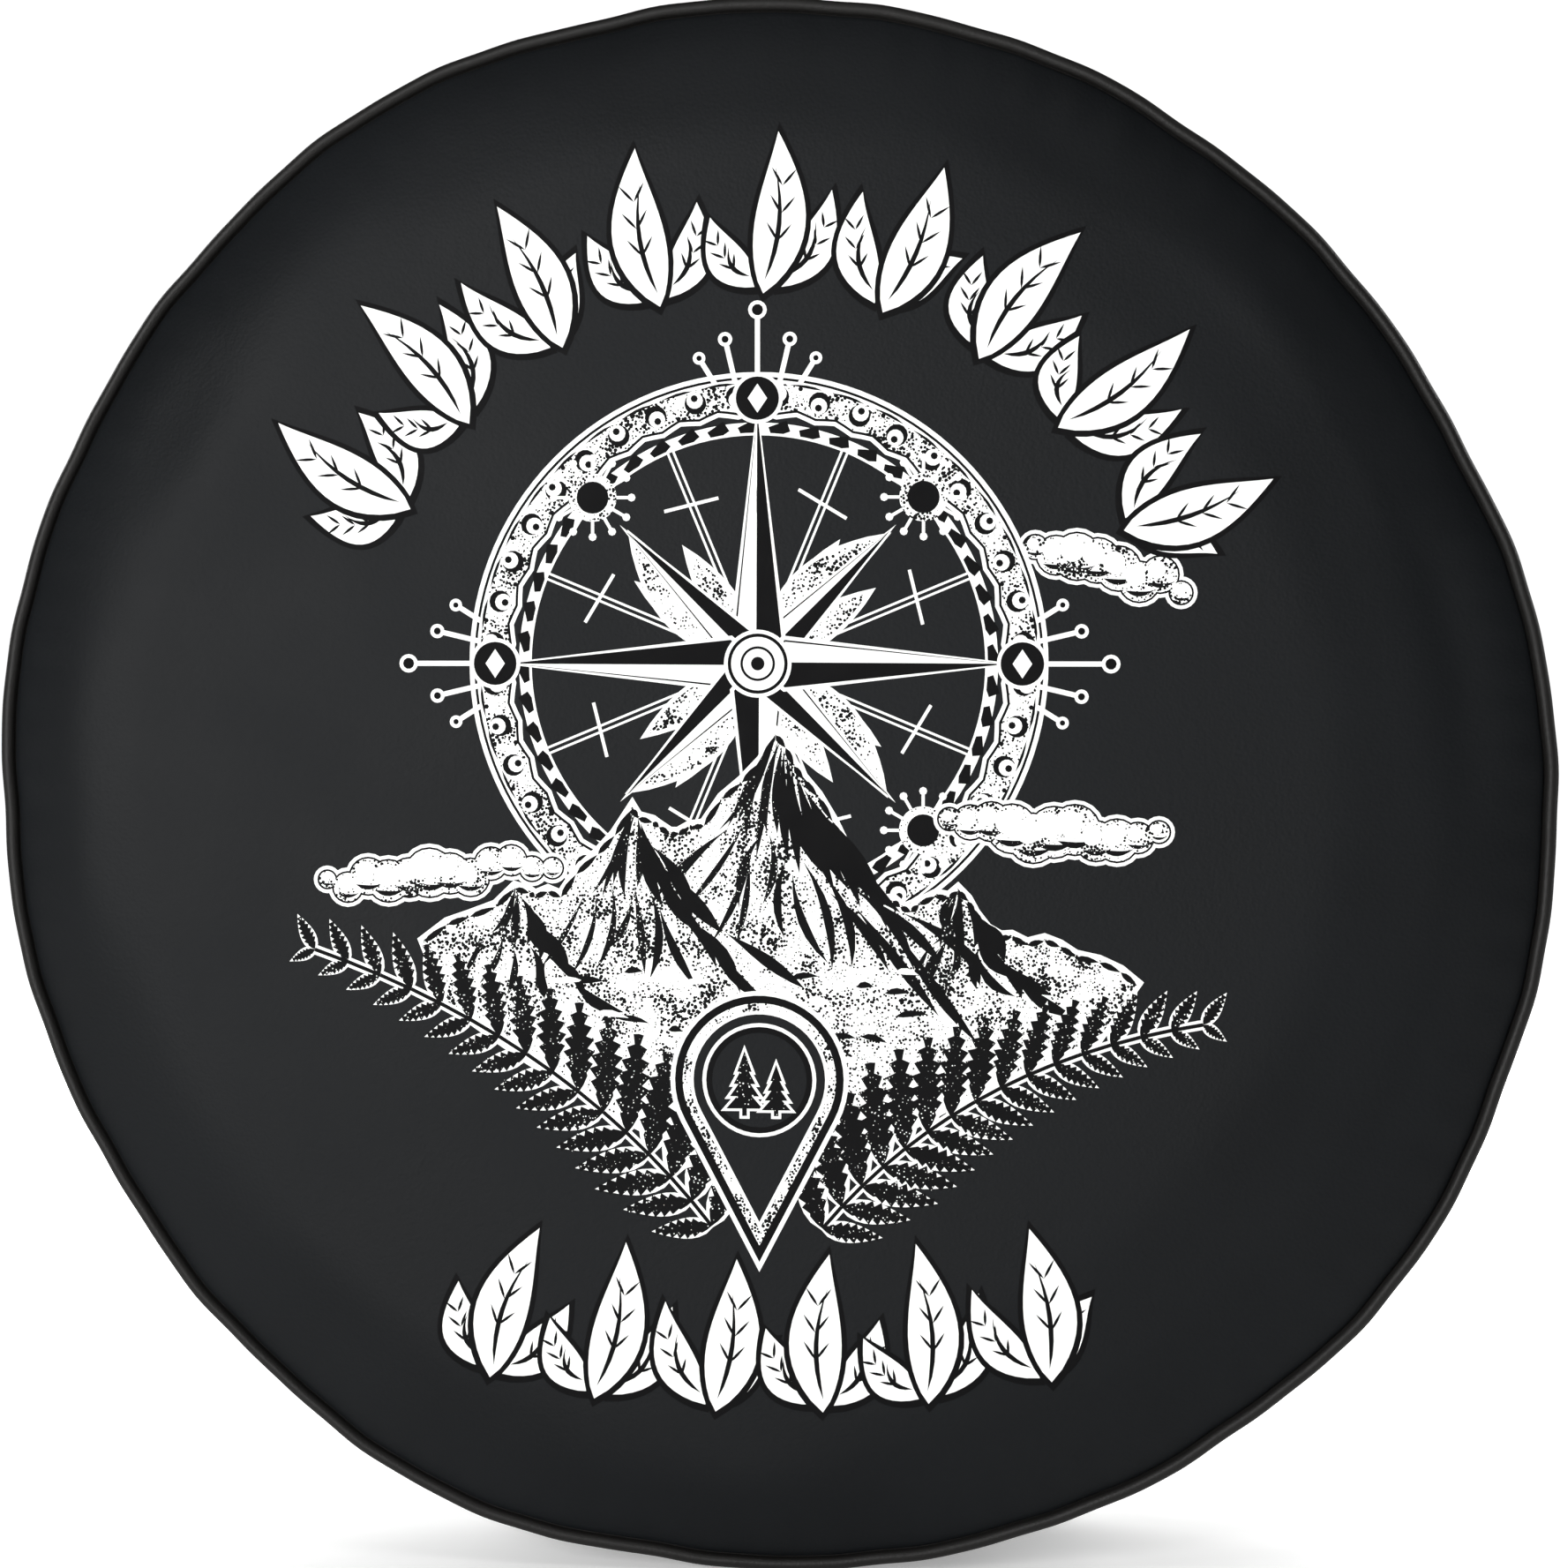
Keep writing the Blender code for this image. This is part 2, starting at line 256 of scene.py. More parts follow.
def run(first, last, steps):
    """Evenly spaced points from one point to another, the last left out."""
    a, b = Vector(first), Vector(last)
    return [tuple(a.lerp(b, i / steps)) for i in range(steps)]


def bent(points, radius, steps):
    """A path with each inner corner made into an arc."""
    path = [points[0]]
    for before, corner, after in zip(points, points[1:], points[2:]):
        here = Vector(corner)
        back, ahead = (Vector(before) - here).normalized(), (Vector(after) - here).normalized()
        half = back.angle(ahead) / 2
        centre = here + (back + ahead).normalized() * radius / math.sin(half)
        first = here + back * radius / math.tan(half) - centre
        turn = first.angle_signed(here + ahead * radius / math.tan(half) - centre)
        start = math.atan2(first.y, first.x)
        path += arc(centre, radius, start, start - turn, steps)
    return path + [points[-1]]


def spaced(path, step):
    """The path with long stretches cut into steps of about this length."""
    dense = []
    for a, b in zip(path, path[1:]):
        dense += run(a, b, max(1, round(math.dist(a, b) / step)))
    return dense + [path[-1]]


def path_length(path):
    """Length of a section, which is the width that its panel is cut to."""
    return sum(math.dist(first, last) for first, last in zip(path, path[1:]))


def shifted(path, distance):
    """The path moved to the left of its own direction."""
    moved = []
    for i, point in enumerate(path):
        here = Vector(point)
        into = (here - Vector(path[i - 1])).normalized() if i else None
        out = (Vector(path[i + 1]) - here).normalized() if i + 1 < len(path) else None
        into, out = into or out, out or into
        across = Vector((-(into + out).y, (into + out).x)).normalized()
        moved.append(tuple(here + across * distance / max(0.3, across.dot((-into.y, into.x)))))
    return moved


def fin_point(inwards, rearwards):
    """A point of the seam's fin, from the middle of the piping cord."""
    along = Vector((-math.cos(FIN_ANGLE), math.sin(FIN_ANGLE)))
    across = Vector((math.sin(FIN_ANGLE), math.cos(FIN_ANGLE)))
    return tuple(Vector((PIPING_RADIUS, SEAM_Y)) + along * inwards + across * rearwards)


def fin_meets(radius, rearwards):
    inwards = (PIPING_RADIUS + rearwards * math.sin(FIN_ANGLE) - radius) / math.cos(FIN_ANGLE)
    return fin_point(inwards, rearwards)


def layers():
    """Distances of the piping's tail, the vinyl and the fleece from the middle of the fin."""
    s = sizes()
    tail = s.lay + s.tape / 2
    vinyl = tail + s.tape / 2 + s.lay + s.vinyl / 2
    return tail, vinyl, vinyl + s.vinyl / 2 + s.lay + s.fleece / 2


def face_bulge():
    """Centre and radius of the bend from the flat face back to the seam, and its end."""
    s = sizes()
    fold = Vector(fin_point(PIPING_BACK, -layers()[1]))
    reach = fold - Vector((s.flat, FACE_Y))
    radius = reach.length_squared / (2 * reach.y)
    return (s.flat, FACE_Y + radius), radius, fold


def face_height(radius):
    """Y of the middle of the face vinyl at a distance from the axis."""
    centre, bend, _ = face_bulge()
    over = np.clip(np.asarray(radius) - sizes().flat, 0, bend * 0.9)
    return centre[1] - np.sqrt(bend**2 - over**2)


def face_path(inside=0.0):
    """Section of a face panel, from the middle to the end of its seam allowance."""
    s = sizes()
    centre, bend, _ = face_bulge()
    bend, across = bend - inside, -layers()[1] - inside
    start = Vector(fin_point(0, across)) - Vector(centre)
    near = -start.dot(Vector((-math.cos(FIN_ANGLE), math.sin(FIN_ANGLE))))
    fold = fin_point(near - math.sqrt(near**2 - start.length_squared + bend**2), across)
    sweep = math.asin((fold[0] - s.flat) / bend)
    lead = run((0.0, FACE_Y + inside), (s.flat, FACE_Y + inside), 34)
    curve = arc(centre, bend, -QUARTER, sweep - QUARTER, 20)
    tail = bent([curve[-2], fold, fin_point(s.fin, across)], 0.9 * MM, 4)
    return lead + curve[:-1] + spaced(tail[1:], 2.2 * MM)


def band_path(inside=0.0):
    """Section of a band panel, from the end of the fin over the tread to the edge at the hem."""
    s = sizes()
    across, reach = layers()[1] + inside, BAND_RADIUS - inside
    crown = SEAM_Y + 12 * MM
    ends = [fin_point(s.fin, across), fin_meets(reach, across), (reach, crown)]
    edge = (s.hem + s.bore + 1.2 * MM, HEM_Y + EDGE_BACK)
    shoulder = [(BAND_RADIUS, 84 * MM), (352 * MM, 107.5 * MM), (329 * MM, 113.6 * MM)]
    corners = [(BAND_RADIUS, crown), *shoulder, edge]
    return spaced(bent(ends, 0.9 * MM, 4)[:-1] + shifted(bent(corners, 24 * MM, 6), inside), 6.5 * MM)


def piping_path():
    """Section of the piping strip: round its cord, with both tails flat in the fin."""
    s = sizes()
    tail, round_cord = layers()[0], s.cord + s.lay + s.tape / 2
    pinch = complex(PIPING_BACK - 0.1 * MM, tail)
    open_to = math.atan2(pinch.imag, pinch.real) + math.acos(round_cord / abs(pinch))
    loop = [(s.fin - 2 * MM, -tail), (pinch.real, -tail)]
    loop += arc((0, 0), round_cord, -open_to, open_to - math.tau, 22)
    loop += [(pinch.real, tail), (s.fin - 2 * MM, tail)]
    return [fin_point(*point) for point in loop]


def binding_legs():
    """How far the hem tape's rear leg and its front leg lie to the rear of the elastic's middle."""
    s = sizes()
    rear = EDGE_BACK + s.vinyl / 2 + s.lay + s.tape / 2
    return rear, EDGE_BACK - s.vinyl / 2 - 2 * s.lay - s.fleece - s.tape / 2


def binding_path():
    """Section of the hem tape: round the elastic, with a leg on each side of the band's edge."""
    s = sizes()
    over, under = binding_legs()
    tube = s.bore + s.tape / 2
    path = run((s.hem + s.binding, HEM_Y + under), (s.hem + tube, HEM_Y + under), 4)
    first, last = math.asin(under / tube), math.asin(over / tube)
    path += arc((s.hem, HEM_Y), tube, first, last - math.tau, 16)
    end = (s.hem + s.binding, HEM_Y + over)
    return path + run((s.hem + tube, HEM_Y + over), end, 4)[1:] + [end]


def ring_path(radius, y, thick, sides):
    """Section of a round cord, closed on itself."""
    return arc((radius, y), thick, 0, math.tau, sides)


# ---------------------------------------------------------------- modelling by hand


def only(piece):
    """Leaves edit mode and selects nothing but this piece."""
    if bpy.context.object and bpy.context.object.mode != "OBJECT":
        bpy.ops.object.mode_set(mode="OBJECT")
    bpy.ops.object.select_all(action="DESELECT")
    piece.select_set(True)
    bpy.context.view_layer.objects.active = piece


def spun(name, path, start=0.0, sweep=math.tau, steps=None):
    """A section drawn point by point in a plane through the axis, then swept round Y."""
    bpy.ops.object.select_all(action="DESELECT")
    bpy.ops.mesh.primitive_plane_add(size=MM)
    piece = bpy.context.object
    piece.name = piece.data.name = name
    bpy.ops.object.mode_set(mode="EDIT")
    bpy.ops.mesh.merge(type="CENTER")
    turned = [Vector((r * math.sin(start), y, r * math.cos(start))) for r, y in path]
    bpy.ops.transform.translate(value=turned[0])
    for a, b in zip(turned, turned[1:]):
        bpy.ops.mesh.extrude_region_move(TRANSFORM_OT_translate={"value": b - a})
    count = steps or sizes().columns
    modify(piece, "SCREW", axis="Y", angle=sweep, steps=count, render_steps=count, screw_offset=0)
    bpy.ops.object.mode_set(mode="EDIT")
    bpy.ops.mesh.select_all(action="SELECT")
    bpy.ops.mesh.remove_doubles(threshold=1e-6)
    bpy.ops.mesh.normals_make_consistent(inside=False)
    bpy.ops.object.mode_set(mode="OBJECT")
    return piece


def points_of(piece):
    co = np.empty(len(piece.data.vertices) * 3)
    piece.data.vertices.foreach_get("co", co)
    return co.reshape(-1, 3)


def shape(piece, *changes):
    """Passes the piece's points through each change of shape in turn."""
    points = points_of(piece)
    for change in changes:
        points = change(points)
    piece.data.vertices.foreach_set("co", points.ravel())
    piece.data.update()


def modify(piece, kind, **settings):
    """Adds a modifier, sets it and applies it."""
    only(piece)
    modifier = piece.modifiers.new(kind.title(), kind)
    for key, value in settings.items():
        setattr(modifier, key, value)
    bpy.ops.object.modifier_apply(modifier=modifier.name)


def thicken(piece, thickness, offset=0.0):
    modify(piece, "SOLIDIFY", thickness=thickness, offset=offset, use_even_offset=False)


def finish_piece(piece, body, slot, material, *nodes, angle=40):
    """Smooths a piece, gives it its material and ties it to its body."""
    only(piece)
    bpy.ops.object.shade_smooth_by_angle(angle=math.radians(angle))
    piece.data.materials.clear()
    piece.data.materials.append(material)
    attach(piece, body)
    if nodes:
        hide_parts(*nodes)
    return piece


def one_stitch(long, thick):
    """The points and faces of one stitch, a short round run of thread that dives at both ends."""
    bpy.ops.object.select_all(action="DESELECT")
    bpy.ops.mesh.primitive_cylinder_add(vertices=6, radius=thick / 2, depth=long * 0.55)
    made = bpy.context.object
    bpy.ops.object.mode_set(mode="EDIT")
    for sign in (1, -1):
        bpy.ops.mesh.select_all(action="DESELECT")
        bpy.ops.object.mode_set(mode="OBJECT")
        for face in made.data.polygons:
            face.select = face.normal.z * sign > 0.9
        bpy.ops.object.mode_set(mode="EDIT")
        bpy.ops.mesh.select_mode(type="FACE")
        step = (0, -thick * 0.75, sign * long * 0.17)
        bpy.ops.mesh.extrude_region_move(TRANSFORM_OT_translate={"value": step})
        bpy.ops.transform.resize(value=(0.7, 0.7, 1))
    bpy.ops.object.mode_set(mode="OBJECT")
    # Extruding leaves points and faces in an order that changes from run to run, so both are sorted
    points = points_of(made)
    order = np.lexsort(np.round(points, 7).T)
    rank = np.argsort(order)
    faces = [[int(rank[v]) for v in face.vertices] for face in made.data.polygons]
    starts = [face.index(min(face)) for face in faces]
    bpy.data.objects.remove(made)
    return points[order], sorted(face[i:] + face[:i] for face, i in zip(faces, starts))


def built(name, points, faces):
    """A piece with its own mesh, from points and faces."""
    mesh = bpy.data.meshes.new(name)
    mesh.from_pydata(points, [], faces)
    made = bpy.data.objects.new(name, mesh)
    bpy.context.collection.objects.link(made)
    return made


def stitched(name, places, along, out):
    """A row of stitches: each is turned so that its length follows the seam and its back faces in."""
    s = sizes()
    points, faces = one_stitch(s.stitch * 0.92, s.thread)
    along = along / np.linalg.norm(along, axis=1, keepdims=True)
    side = np.cross(out, along)
    side /= np.linalg.norm(side, axis=1, keepdims=True)
    up = np.cross(along, side)
    axes = np.stack([side, up, along], axis=1)
    every = (points @ axes + places[:, None, :]).reshape(-1, 3)
    count = len(points)
    faces = [tuple(v + i * count for v in f) for i in range(len(places)) for f in faces]
    return built(name, every.tolist(), faces)


# ---------------------------------------------------------------- materials


def add_node(tree, kind, inputs=None, links=None, **settings):
    """Adds a node, with its settings, its input values and its links from other nodes' outputs."""
    made = tree.nodes.new(kind)
    for key, value in settings.items():
        setattr(made, key, value)
    for key, value in (inputs or {}).items():
        made.inputs[key].default_value = value
    for key, source in (links or {}).items():
        tree.links.new(source, made.inputs[key])
    return made


def new_material(name, **values):
    """A Principled material with these values on its own sockets, and its tree and Object coordinates."""
    made = bpy.data.materials.new(name)
    made.use_nodes = True
    tree = made.node_tree
    shader = tree.nodes["Principled BSDF"]
    for key, value in values.items():
        shader.inputs[key.replace("_", " ")].default_value = value
    place = add_node(tree, "ShaderNodeTexCoord").outputs["Object"]
    return made, tree, shader, place


def vary(tree, shader, place, scale, low, high, socket="Roughness", detail=3.0):
    """A socket that drifts between two values over patches of a given size."""
    patches = add_node(
        tree, "ShaderNodeTexNoise", {"Scale": scale, "Detail": detail}, {"Vector": place}
    )
    spread = add_node(
        tree,
        "ShaderNodeMapRange",
        {"From Min": 0.3, "From Max": 0.7, "To Min": low, "To Max": high},
        {"Value": patches.outputs["Fac"]},
    )
    tree.links.new(spread.outputs["Result"], shader.inputs[socket])
    return patches


def tint(tree, shader, source, low, high):
    """A base colour that runs between two colours with a pattern."""
    ramp = add_node(tree, "ShaderNodeValToRGB", links={"Fac": source})
    ramp.color_ramp.elements[0].position = 0.3
    ramp.color_ramp.elements[1].position = 0.7
    ramp.color_ramp.elements[0].color = (*low, 1)
    ramp.color_ramp.elements[1].color = (*high, 1)
    tree.links.new(ramp.outputs["Color"], shader.inputs["Base Color"])


def raise_grain(tree, shader, heights, strength, distance):
    """Bump from the sum of one or two height patterns."""
    height = heights[0]
    if len(heights) > 1:
        height = add_node(
            tree, "ShaderNodeMath", links={0: heights[0], 1: heights[1]}, operation="ADD"
        ).outputs["Value"]
    bump = add_node(
        tree, "ShaderNodeBump", {"Strength": strength, "Distance": distance}, {"Height": height}
    )
    tree.links.new(bump.outputs["Normal"], shader.inputs["Normal"])


def scaled(value, factor):
    return tuple(part * factor for part in value)


def marine_vinyl(name, base, rough=(0.54, 0.62), grain=1.5 * MM, gloss=0.13):
    """PVC-coated polyester, calendered and embossed: black with a soft satin glow and a pebbled grain.

    The real grain is about 0.7 mm. It is drawn at 1.5 mm, the finest that shows in the render.
    """
    made, tree, shader, place = new_material(name, IOR=1.5, Specular_IOR_Level=gloss)
    patches = vary(tree, shader, place, 9.0, *rough)
    tint(tree, shader, patches.outputs["Fac"], scaled(base, 0.86), scaled(base, 1.14))
    pebbles = add_node(
        tree, "ShaderNodeTexVoronoi", {"Scale": 1 / grain}, {"Vector": place}, feature="SMOOTH_F1"
    )
    creases = add_node(
        tree, "ShaderNodeTexNoise", {"Scale": 1 / (4 * grain), "Detail": 4.0}, {"Vector": place}
    )
    raise_grain(
        tree, shader, [pebbles.outputs["Distance"], creases.outputs["Fac"]], 0.6, 0.18 * MM
    )
    return made


def polyester_fleece(name, base):
    """Brushed knit backing: pale, dull and slightly hairy, with its knitted ribs 1.6 mm apart."""
    made, tree, shader, place = new_material(name, Roughness=0.95, Sheen_Weight=0.35, IOR=1.45)
    fuzz = add_node(tree, "ShaderNodeTexNoise", {"Scale": 420.0, "Detail": 5.0}, {"Vector": place})
    tint(tree, shader, fuzz.outputs["Fac"], scaled(base, 0.8), scaled(base, 1.1))
    ribs = add_node(
        tree,
        "ShaderNodeTexWave",
        {"Scale": 1 / (1.6 * MM) / 20, "Distortion": 3.0, "Detail": 2.0, "Detail Scale": 3.0},
        {"Vector": place},
        bands_direction="X",
    )
    raise_grain(tree, shader, [fuzz.outputs["Fac"], ribs.outputs["Fac"]], 0.5, 0.35 * MM)
    return made


def woven_tape(name, base):
    """Woven polypropylene binding: dull black, with ribs across it 1.4 mm apart."""
    made, tree, shader, place = new_material(
        name, Roughness=0.7, Sheen_Weight=0.05, IOR=1.49, Specular_IOR_Level=0.2
    )
    across = add_node(
        tree, "ShaderNodeTexVoronoi", {"Scale": 1 / (1.4 * MM)}, {"Vector": place}, distance="CHEBYCHEV"
    )
    tint(tree, shader, across.outputs["Distance"], scaled(base, 1.35), scaled(base, 0.6))
    raise_grain(tree, shader, [across.outputs["Distance"]], 0.6, 0.2 * MM)
    return made


def bonded_thread(name, base):
    """Twisted polyester thread, bonded: a little waxy, its twist 0.9 mm long."""
    made, tree, shader, place = new_material(name, Roughness=0.45, Sheen_Weight=0.3, IOR=1.5)
    twist = add_node(
        tree,
        "ShaderNodeTexWave",
        {"Scale": 1 / (0.9 * MM) / 20, "Distortion": 0.5},
        {"Vector": place},
        bands_direction="DIAGONAL",
    )
    tint(tree, shader, twist.outputs["Fac"], scaled(base, 0.7), scaled(base, 1.5))
    raise_grain(tree, shader, [twist.outputs["Fac"]], 0.5, 0.08 * MM)
    return made


def nickel_steel(name):
    """Nickel-plated steel crimp: bright, slightly brushed by the pliers."""
    made, tree, shader, place = new_material(name, Metallic=1.0)
    marks = vary(tree, shader, place, 900.0, 0.22, 0.42)
    tint(tree, shader, marks.outputs["Fac"], linear(0xB9B7B0), linear(0xD2D0C9))
    return made


def printed_ink(name, base, rough):
    """Plastisol ink, screened on and cured: a dense film with the vinyl's grain showing through it."""
    made, tree, shader, place = new_material(name, IOR=1.48, Specular_IOR_Level=0.1)
    patches = vary(tree, shader, place, 60.0, rough - 0.04, rough + 0.04)
    tint(tree, shader, patches.outputs["Fac"], scaled(base, 0.96), base)
    pebbles = add_node(
        tree, "ShaderNodeTexVoronoi", {"Scale": 1 / (1.5 * MM)}, {"Vector": place}, feature="SMOOTH_F1"
    )
    raise_grain(tree, shader, [pebbles.outputs["Distance"]], 0.2, 0.1 * MM)
    return made


def stippled_ink(name, base, dot, share):
    """The same ink screened as a stipple of dots about 1.6 mm apart, denser in some parts than others."""
    made, tree, shader, place = new_material(name, Roughness=0.64, IOR=1.48, Specular_IOR_Level=0.1)
    dots = add_node(tree, "ShaderNodeTexVoronoi", {"Scale": 1 / (1.6 * MM)}, {"Vector": place})
    shade = add_node(
        tree, "ShaderNodeTexNoise", {"Scale": 1 / (16 * MM), "Detail": 4.0}, {"Vector": place}
    )
    limit = add_node(
        tree,
        "ShaderNodeMapRange",
        {"From Min": 0.35, "From Max": 0.65, "To Min": share * 0.45, "To Max": share * 1.9},
        {"Value": shade.outputs["Fac"]},
    )
    inside = add_node(
        tree,
        "ShaderNodeMath",
        links={0: dots.outputs["Distance"], 1: limit.outputs["Result"]},
        operation="LESS_THAN",
    )
    mix = add_node(
        tree,
        "ShaderNodeMix",
        {"A": (*base, 1), "B": (*dot, 1)},
        {"Factor": inside.outputs["Value"]},
        data_type="RGBA",
    )
    tree.links.new(mix.outputs["Result"], shader.inputs["Base Color"])
    return made


def studio_paper(name, base):
    """Matte background paper with a painted glow: it glows to the eye, more so farther away, so its shadows
    stay soft. The glow is weakest round the cover's foot, a painted shade there.
    """
    made, tree, shader, place = new_material(name, IOR=1.3, Specular_IOR_Level=0.2)
    fibres = vary(tree, shader, place, 40.0, 0.85, 0.95)
    tint(tree, shader, fibres.outputs["Fac"], scaled(base, 0.97), base)
    shader.inputs["Emission Color"].default_value = (1, 1, 1, 1)
    # Painted glow: emission strength grows with distance from the cover's middle, and only camera rays see
    # more than the base glow, so the floor is painted darker round the cover's foot
    away = add_node(tree, "ShaderNodeVectorMath", links={0: place}, operation="LENGTH")
    painted_glow_by_distance = add_node(
        tree,
        "ShaderNodeMapRange",
        {"From Min": 0.35, "From Max": 1.6, "To Min": 0.3, "To Max": 1.05},
        {"Value": away.outputs["Value"]},
    )
    seen = add_node(tree, "ShaderNodeLightPath").outputs["Is Camera Ray"]
    shown = add_node(
        tree, "ShaderNodeMath", links={0: painted_glow_by_distance.outputs["Result"], 1: seen}, operation="MULTIPLY"
    )
    glow = add_node(
        tree, "ShaderNodeMath", {1: 0.3}, {0: shown.outputs["Value"]}, operation="MAXIMUM"
    )
    tree.links.new(glow.outputs["Value"], shader.inputs["Emission Strength"])
    return made


# ---------------------------------------------------------------- the pieces


class COVER_OT_face(bpy.types.Operator):
    """Cuts the round face panel and the fleece behind it, and dishes both over the tyre"""

    bl_idname = "cover.face"
    bl_label = "Face panel"

    def execute(self, context):
        s, c = sizes(), colours()
        vinyl = spun("face_vinyl", face_path())
        behind = (s.vinyl + s.fleece) / 2 + s.lay
        fleece = spun("face_fleece", face_path(behind), steps=s.columns // 2)
        for piece, thick in ((vinyl, s.vinyl), (fleece, s.fleece)):
            shape(piece, fitted)
            thicken(piece, thick)
        skin = marine_vinyl("marine vinyl, black satin", c.vinyl)
        knit = polyester_fleece("brushed polyester fleece", c.fleece)
        finish_piece(vinyl, FRONT, "vinyl_black", skin, "face_panel")
        finish_piece(fleece, FRONT, "fleece_backing", knit, "face_backing")
        for piece, inside in ((vinyl, 0.0), (fleece, behind)):
            cut = path_length(face_path(inside))
        return {"FINISHED"}


class COVER_OT_piping(bpy.types.Operator):
    """Wraps the piping strip round its filler cord, all round the face seam"""

    bl_idname = "cover.piping"
    bl_label = "Piping"

    def execute(self, context):
        s, c = sizes(), colours()
        strip = spun("piping_strip", piping_path())
        shape(strip, fitted)
        thicken(strip, s.tape)
        glossy = marine_vinyl("piping vinyl, smooth", c.piping, (0.48, 0.56), 1.1 * MM, 0.22)
        finish_piece(strip, FRONT, "vinyl_piping", glossy, "welt_cover")
        filler = spun("piping_filler", ring_path(PIPING_RADIUS, SEAM_Y, s.cord, 10))
        shape(filler, fitted)
        twisted = bonded_thread("braided polypropylene filler", c.filler)
        finish_piece(filler, FRONT, "piping_filler", twisted, "welt_cord")
        path_length(piping_path())
        return {"FINISHED"}


class COVER_OT_band(bpy.types.Operator):
    """Sets the two halves of the side band, with their fleece, round the tread and the rear shoulder"""

    bl_idname = "cover.band"
    bl_label = "Side band"

    def execute(self, context):
        s, c = sizes(), colours()
        skin = marine_vinyl("marine vinyl, side band", c.vinyl)
        knit = polyester_fleece("brushed polyester fleece, side band", c.fleece)
        behind = (s.vinyl + s.fleece) / 2 + s.lay
        gap = 0.02 * MM / BAND_RADIUS
        for half, start in (("upper", -QUARTER), ("lower", QUARTER)):
            for kind, inside, thick, material, slot, share in (
                ("side_band_", 0.0, s.vinyl, skin, "vinyl_black", 1),
                ("band_backing_", behind, s.fleece, knit, "fleece_backing", 0.6),
            ):
                piece = spun(
                    kind + half + "_cloth",
                    band_path(inside),
                    start + gap,
                    math.pi - 2 * gap,
                    round(s.columns * share / 2) * 2,
                )
                shape(piece, gathered, fitted)
                thicken(piece, thick)
                finish_piece(piece, FRONT, slot, material, kind + half)
                path_length(band_path(inside))
                crumple(piece)
        return {"FINISHED"}


def crumple(piece):
    """Gives the piece a mesh of its own."""
    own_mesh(piece)


class COVER_OT_hem(bpy.types.Operator):
    """Binds the rear edge round a ring of elastic cord, closed by a crimp at the bottom"""

    bl_idname = "cover.hem"
    bl_label = "Elastic hem"

    def execute(self, context):
        s, c = sizes(), colours()
        tape = spun("hem_tape", binding_path())
        shape(tape, gathered, fitted)
        thicken(tape, s.tape)
        woven = woven_tape("woven polypropylene binding", c.tape)
        finish_piece(tape, HEM, "binding_tape", woven, "hem_binding")
        path_length(binding_path())
        cord = (ELASTIC[1].y - ELASTIC[0].y) / 2
        gap = 1.0 * MM / s.hem
        elastic = spun(
            "elastic_ring", ring_path(s.hem, HEM_Y, cord, 12), math.pi + gap, math.tau - 2 * gap
        )
        only(elastic)
        bpy.ops.object.mode_set(mode="EDIT")
        bpy.ops.mesh.select_all(action="SELECT")
        bpy.ops.mesh.fill_holes(sides=20)
        bpy.ops.mesh.select_all(action="SELECT")
        bpy.ops.mesh.normals_make_consistent(inside=False)
        bpy.ops.object.mode_set(mode="OBJECT")
        shape(elastic, gathered, fitted)
        braid = woven_tape("braided elastic", c.elastic)
        finish_piece(elastic, HEM, "elastic_black", braid, "elastic_cord")
        half = 9 * MM / s.hem
        sleeve = ring_path(s.hem, HEM_Y, cord + 0.45 * MM, 16)
        crimp = spun("hem_crimp", sleeve, math.pi - half, 2 * half, 24)
        shape(crimp, pressed, gathered, fitted)
        thicken(crimp, 0.5 * MM, 0.6)
        finish_piece(crimp, HEM, "crimp_steel", nickel_steel("nickel-plated steel"), "elastic_crimp")
        return {"FINISHED"}


def pressed(points):
    """Three dents that the pliers leave across a crimp."""
    s = sizes()
    x, y, z = points.T
    radius, turn = np.hypot(x, z), np.arctan2(x, -z)
    jaws = 0.5 + 0.5 * np.cos(turn * s.hem / (5.4 * MM) * math.tau)
    dent = 0.12 * jaws * smooth((7 * MM - abs(turn) * s.hem) / (2 * MM))
    radius, y = s.hem + (radius - s.hem) * (1 + dent * 0.5), HEM_Y + (y - HEM_Y) * (1 - dent)
    return np.stack([radius * np.sin(turn), y, -radius * np.cos(turn)], axis=1)


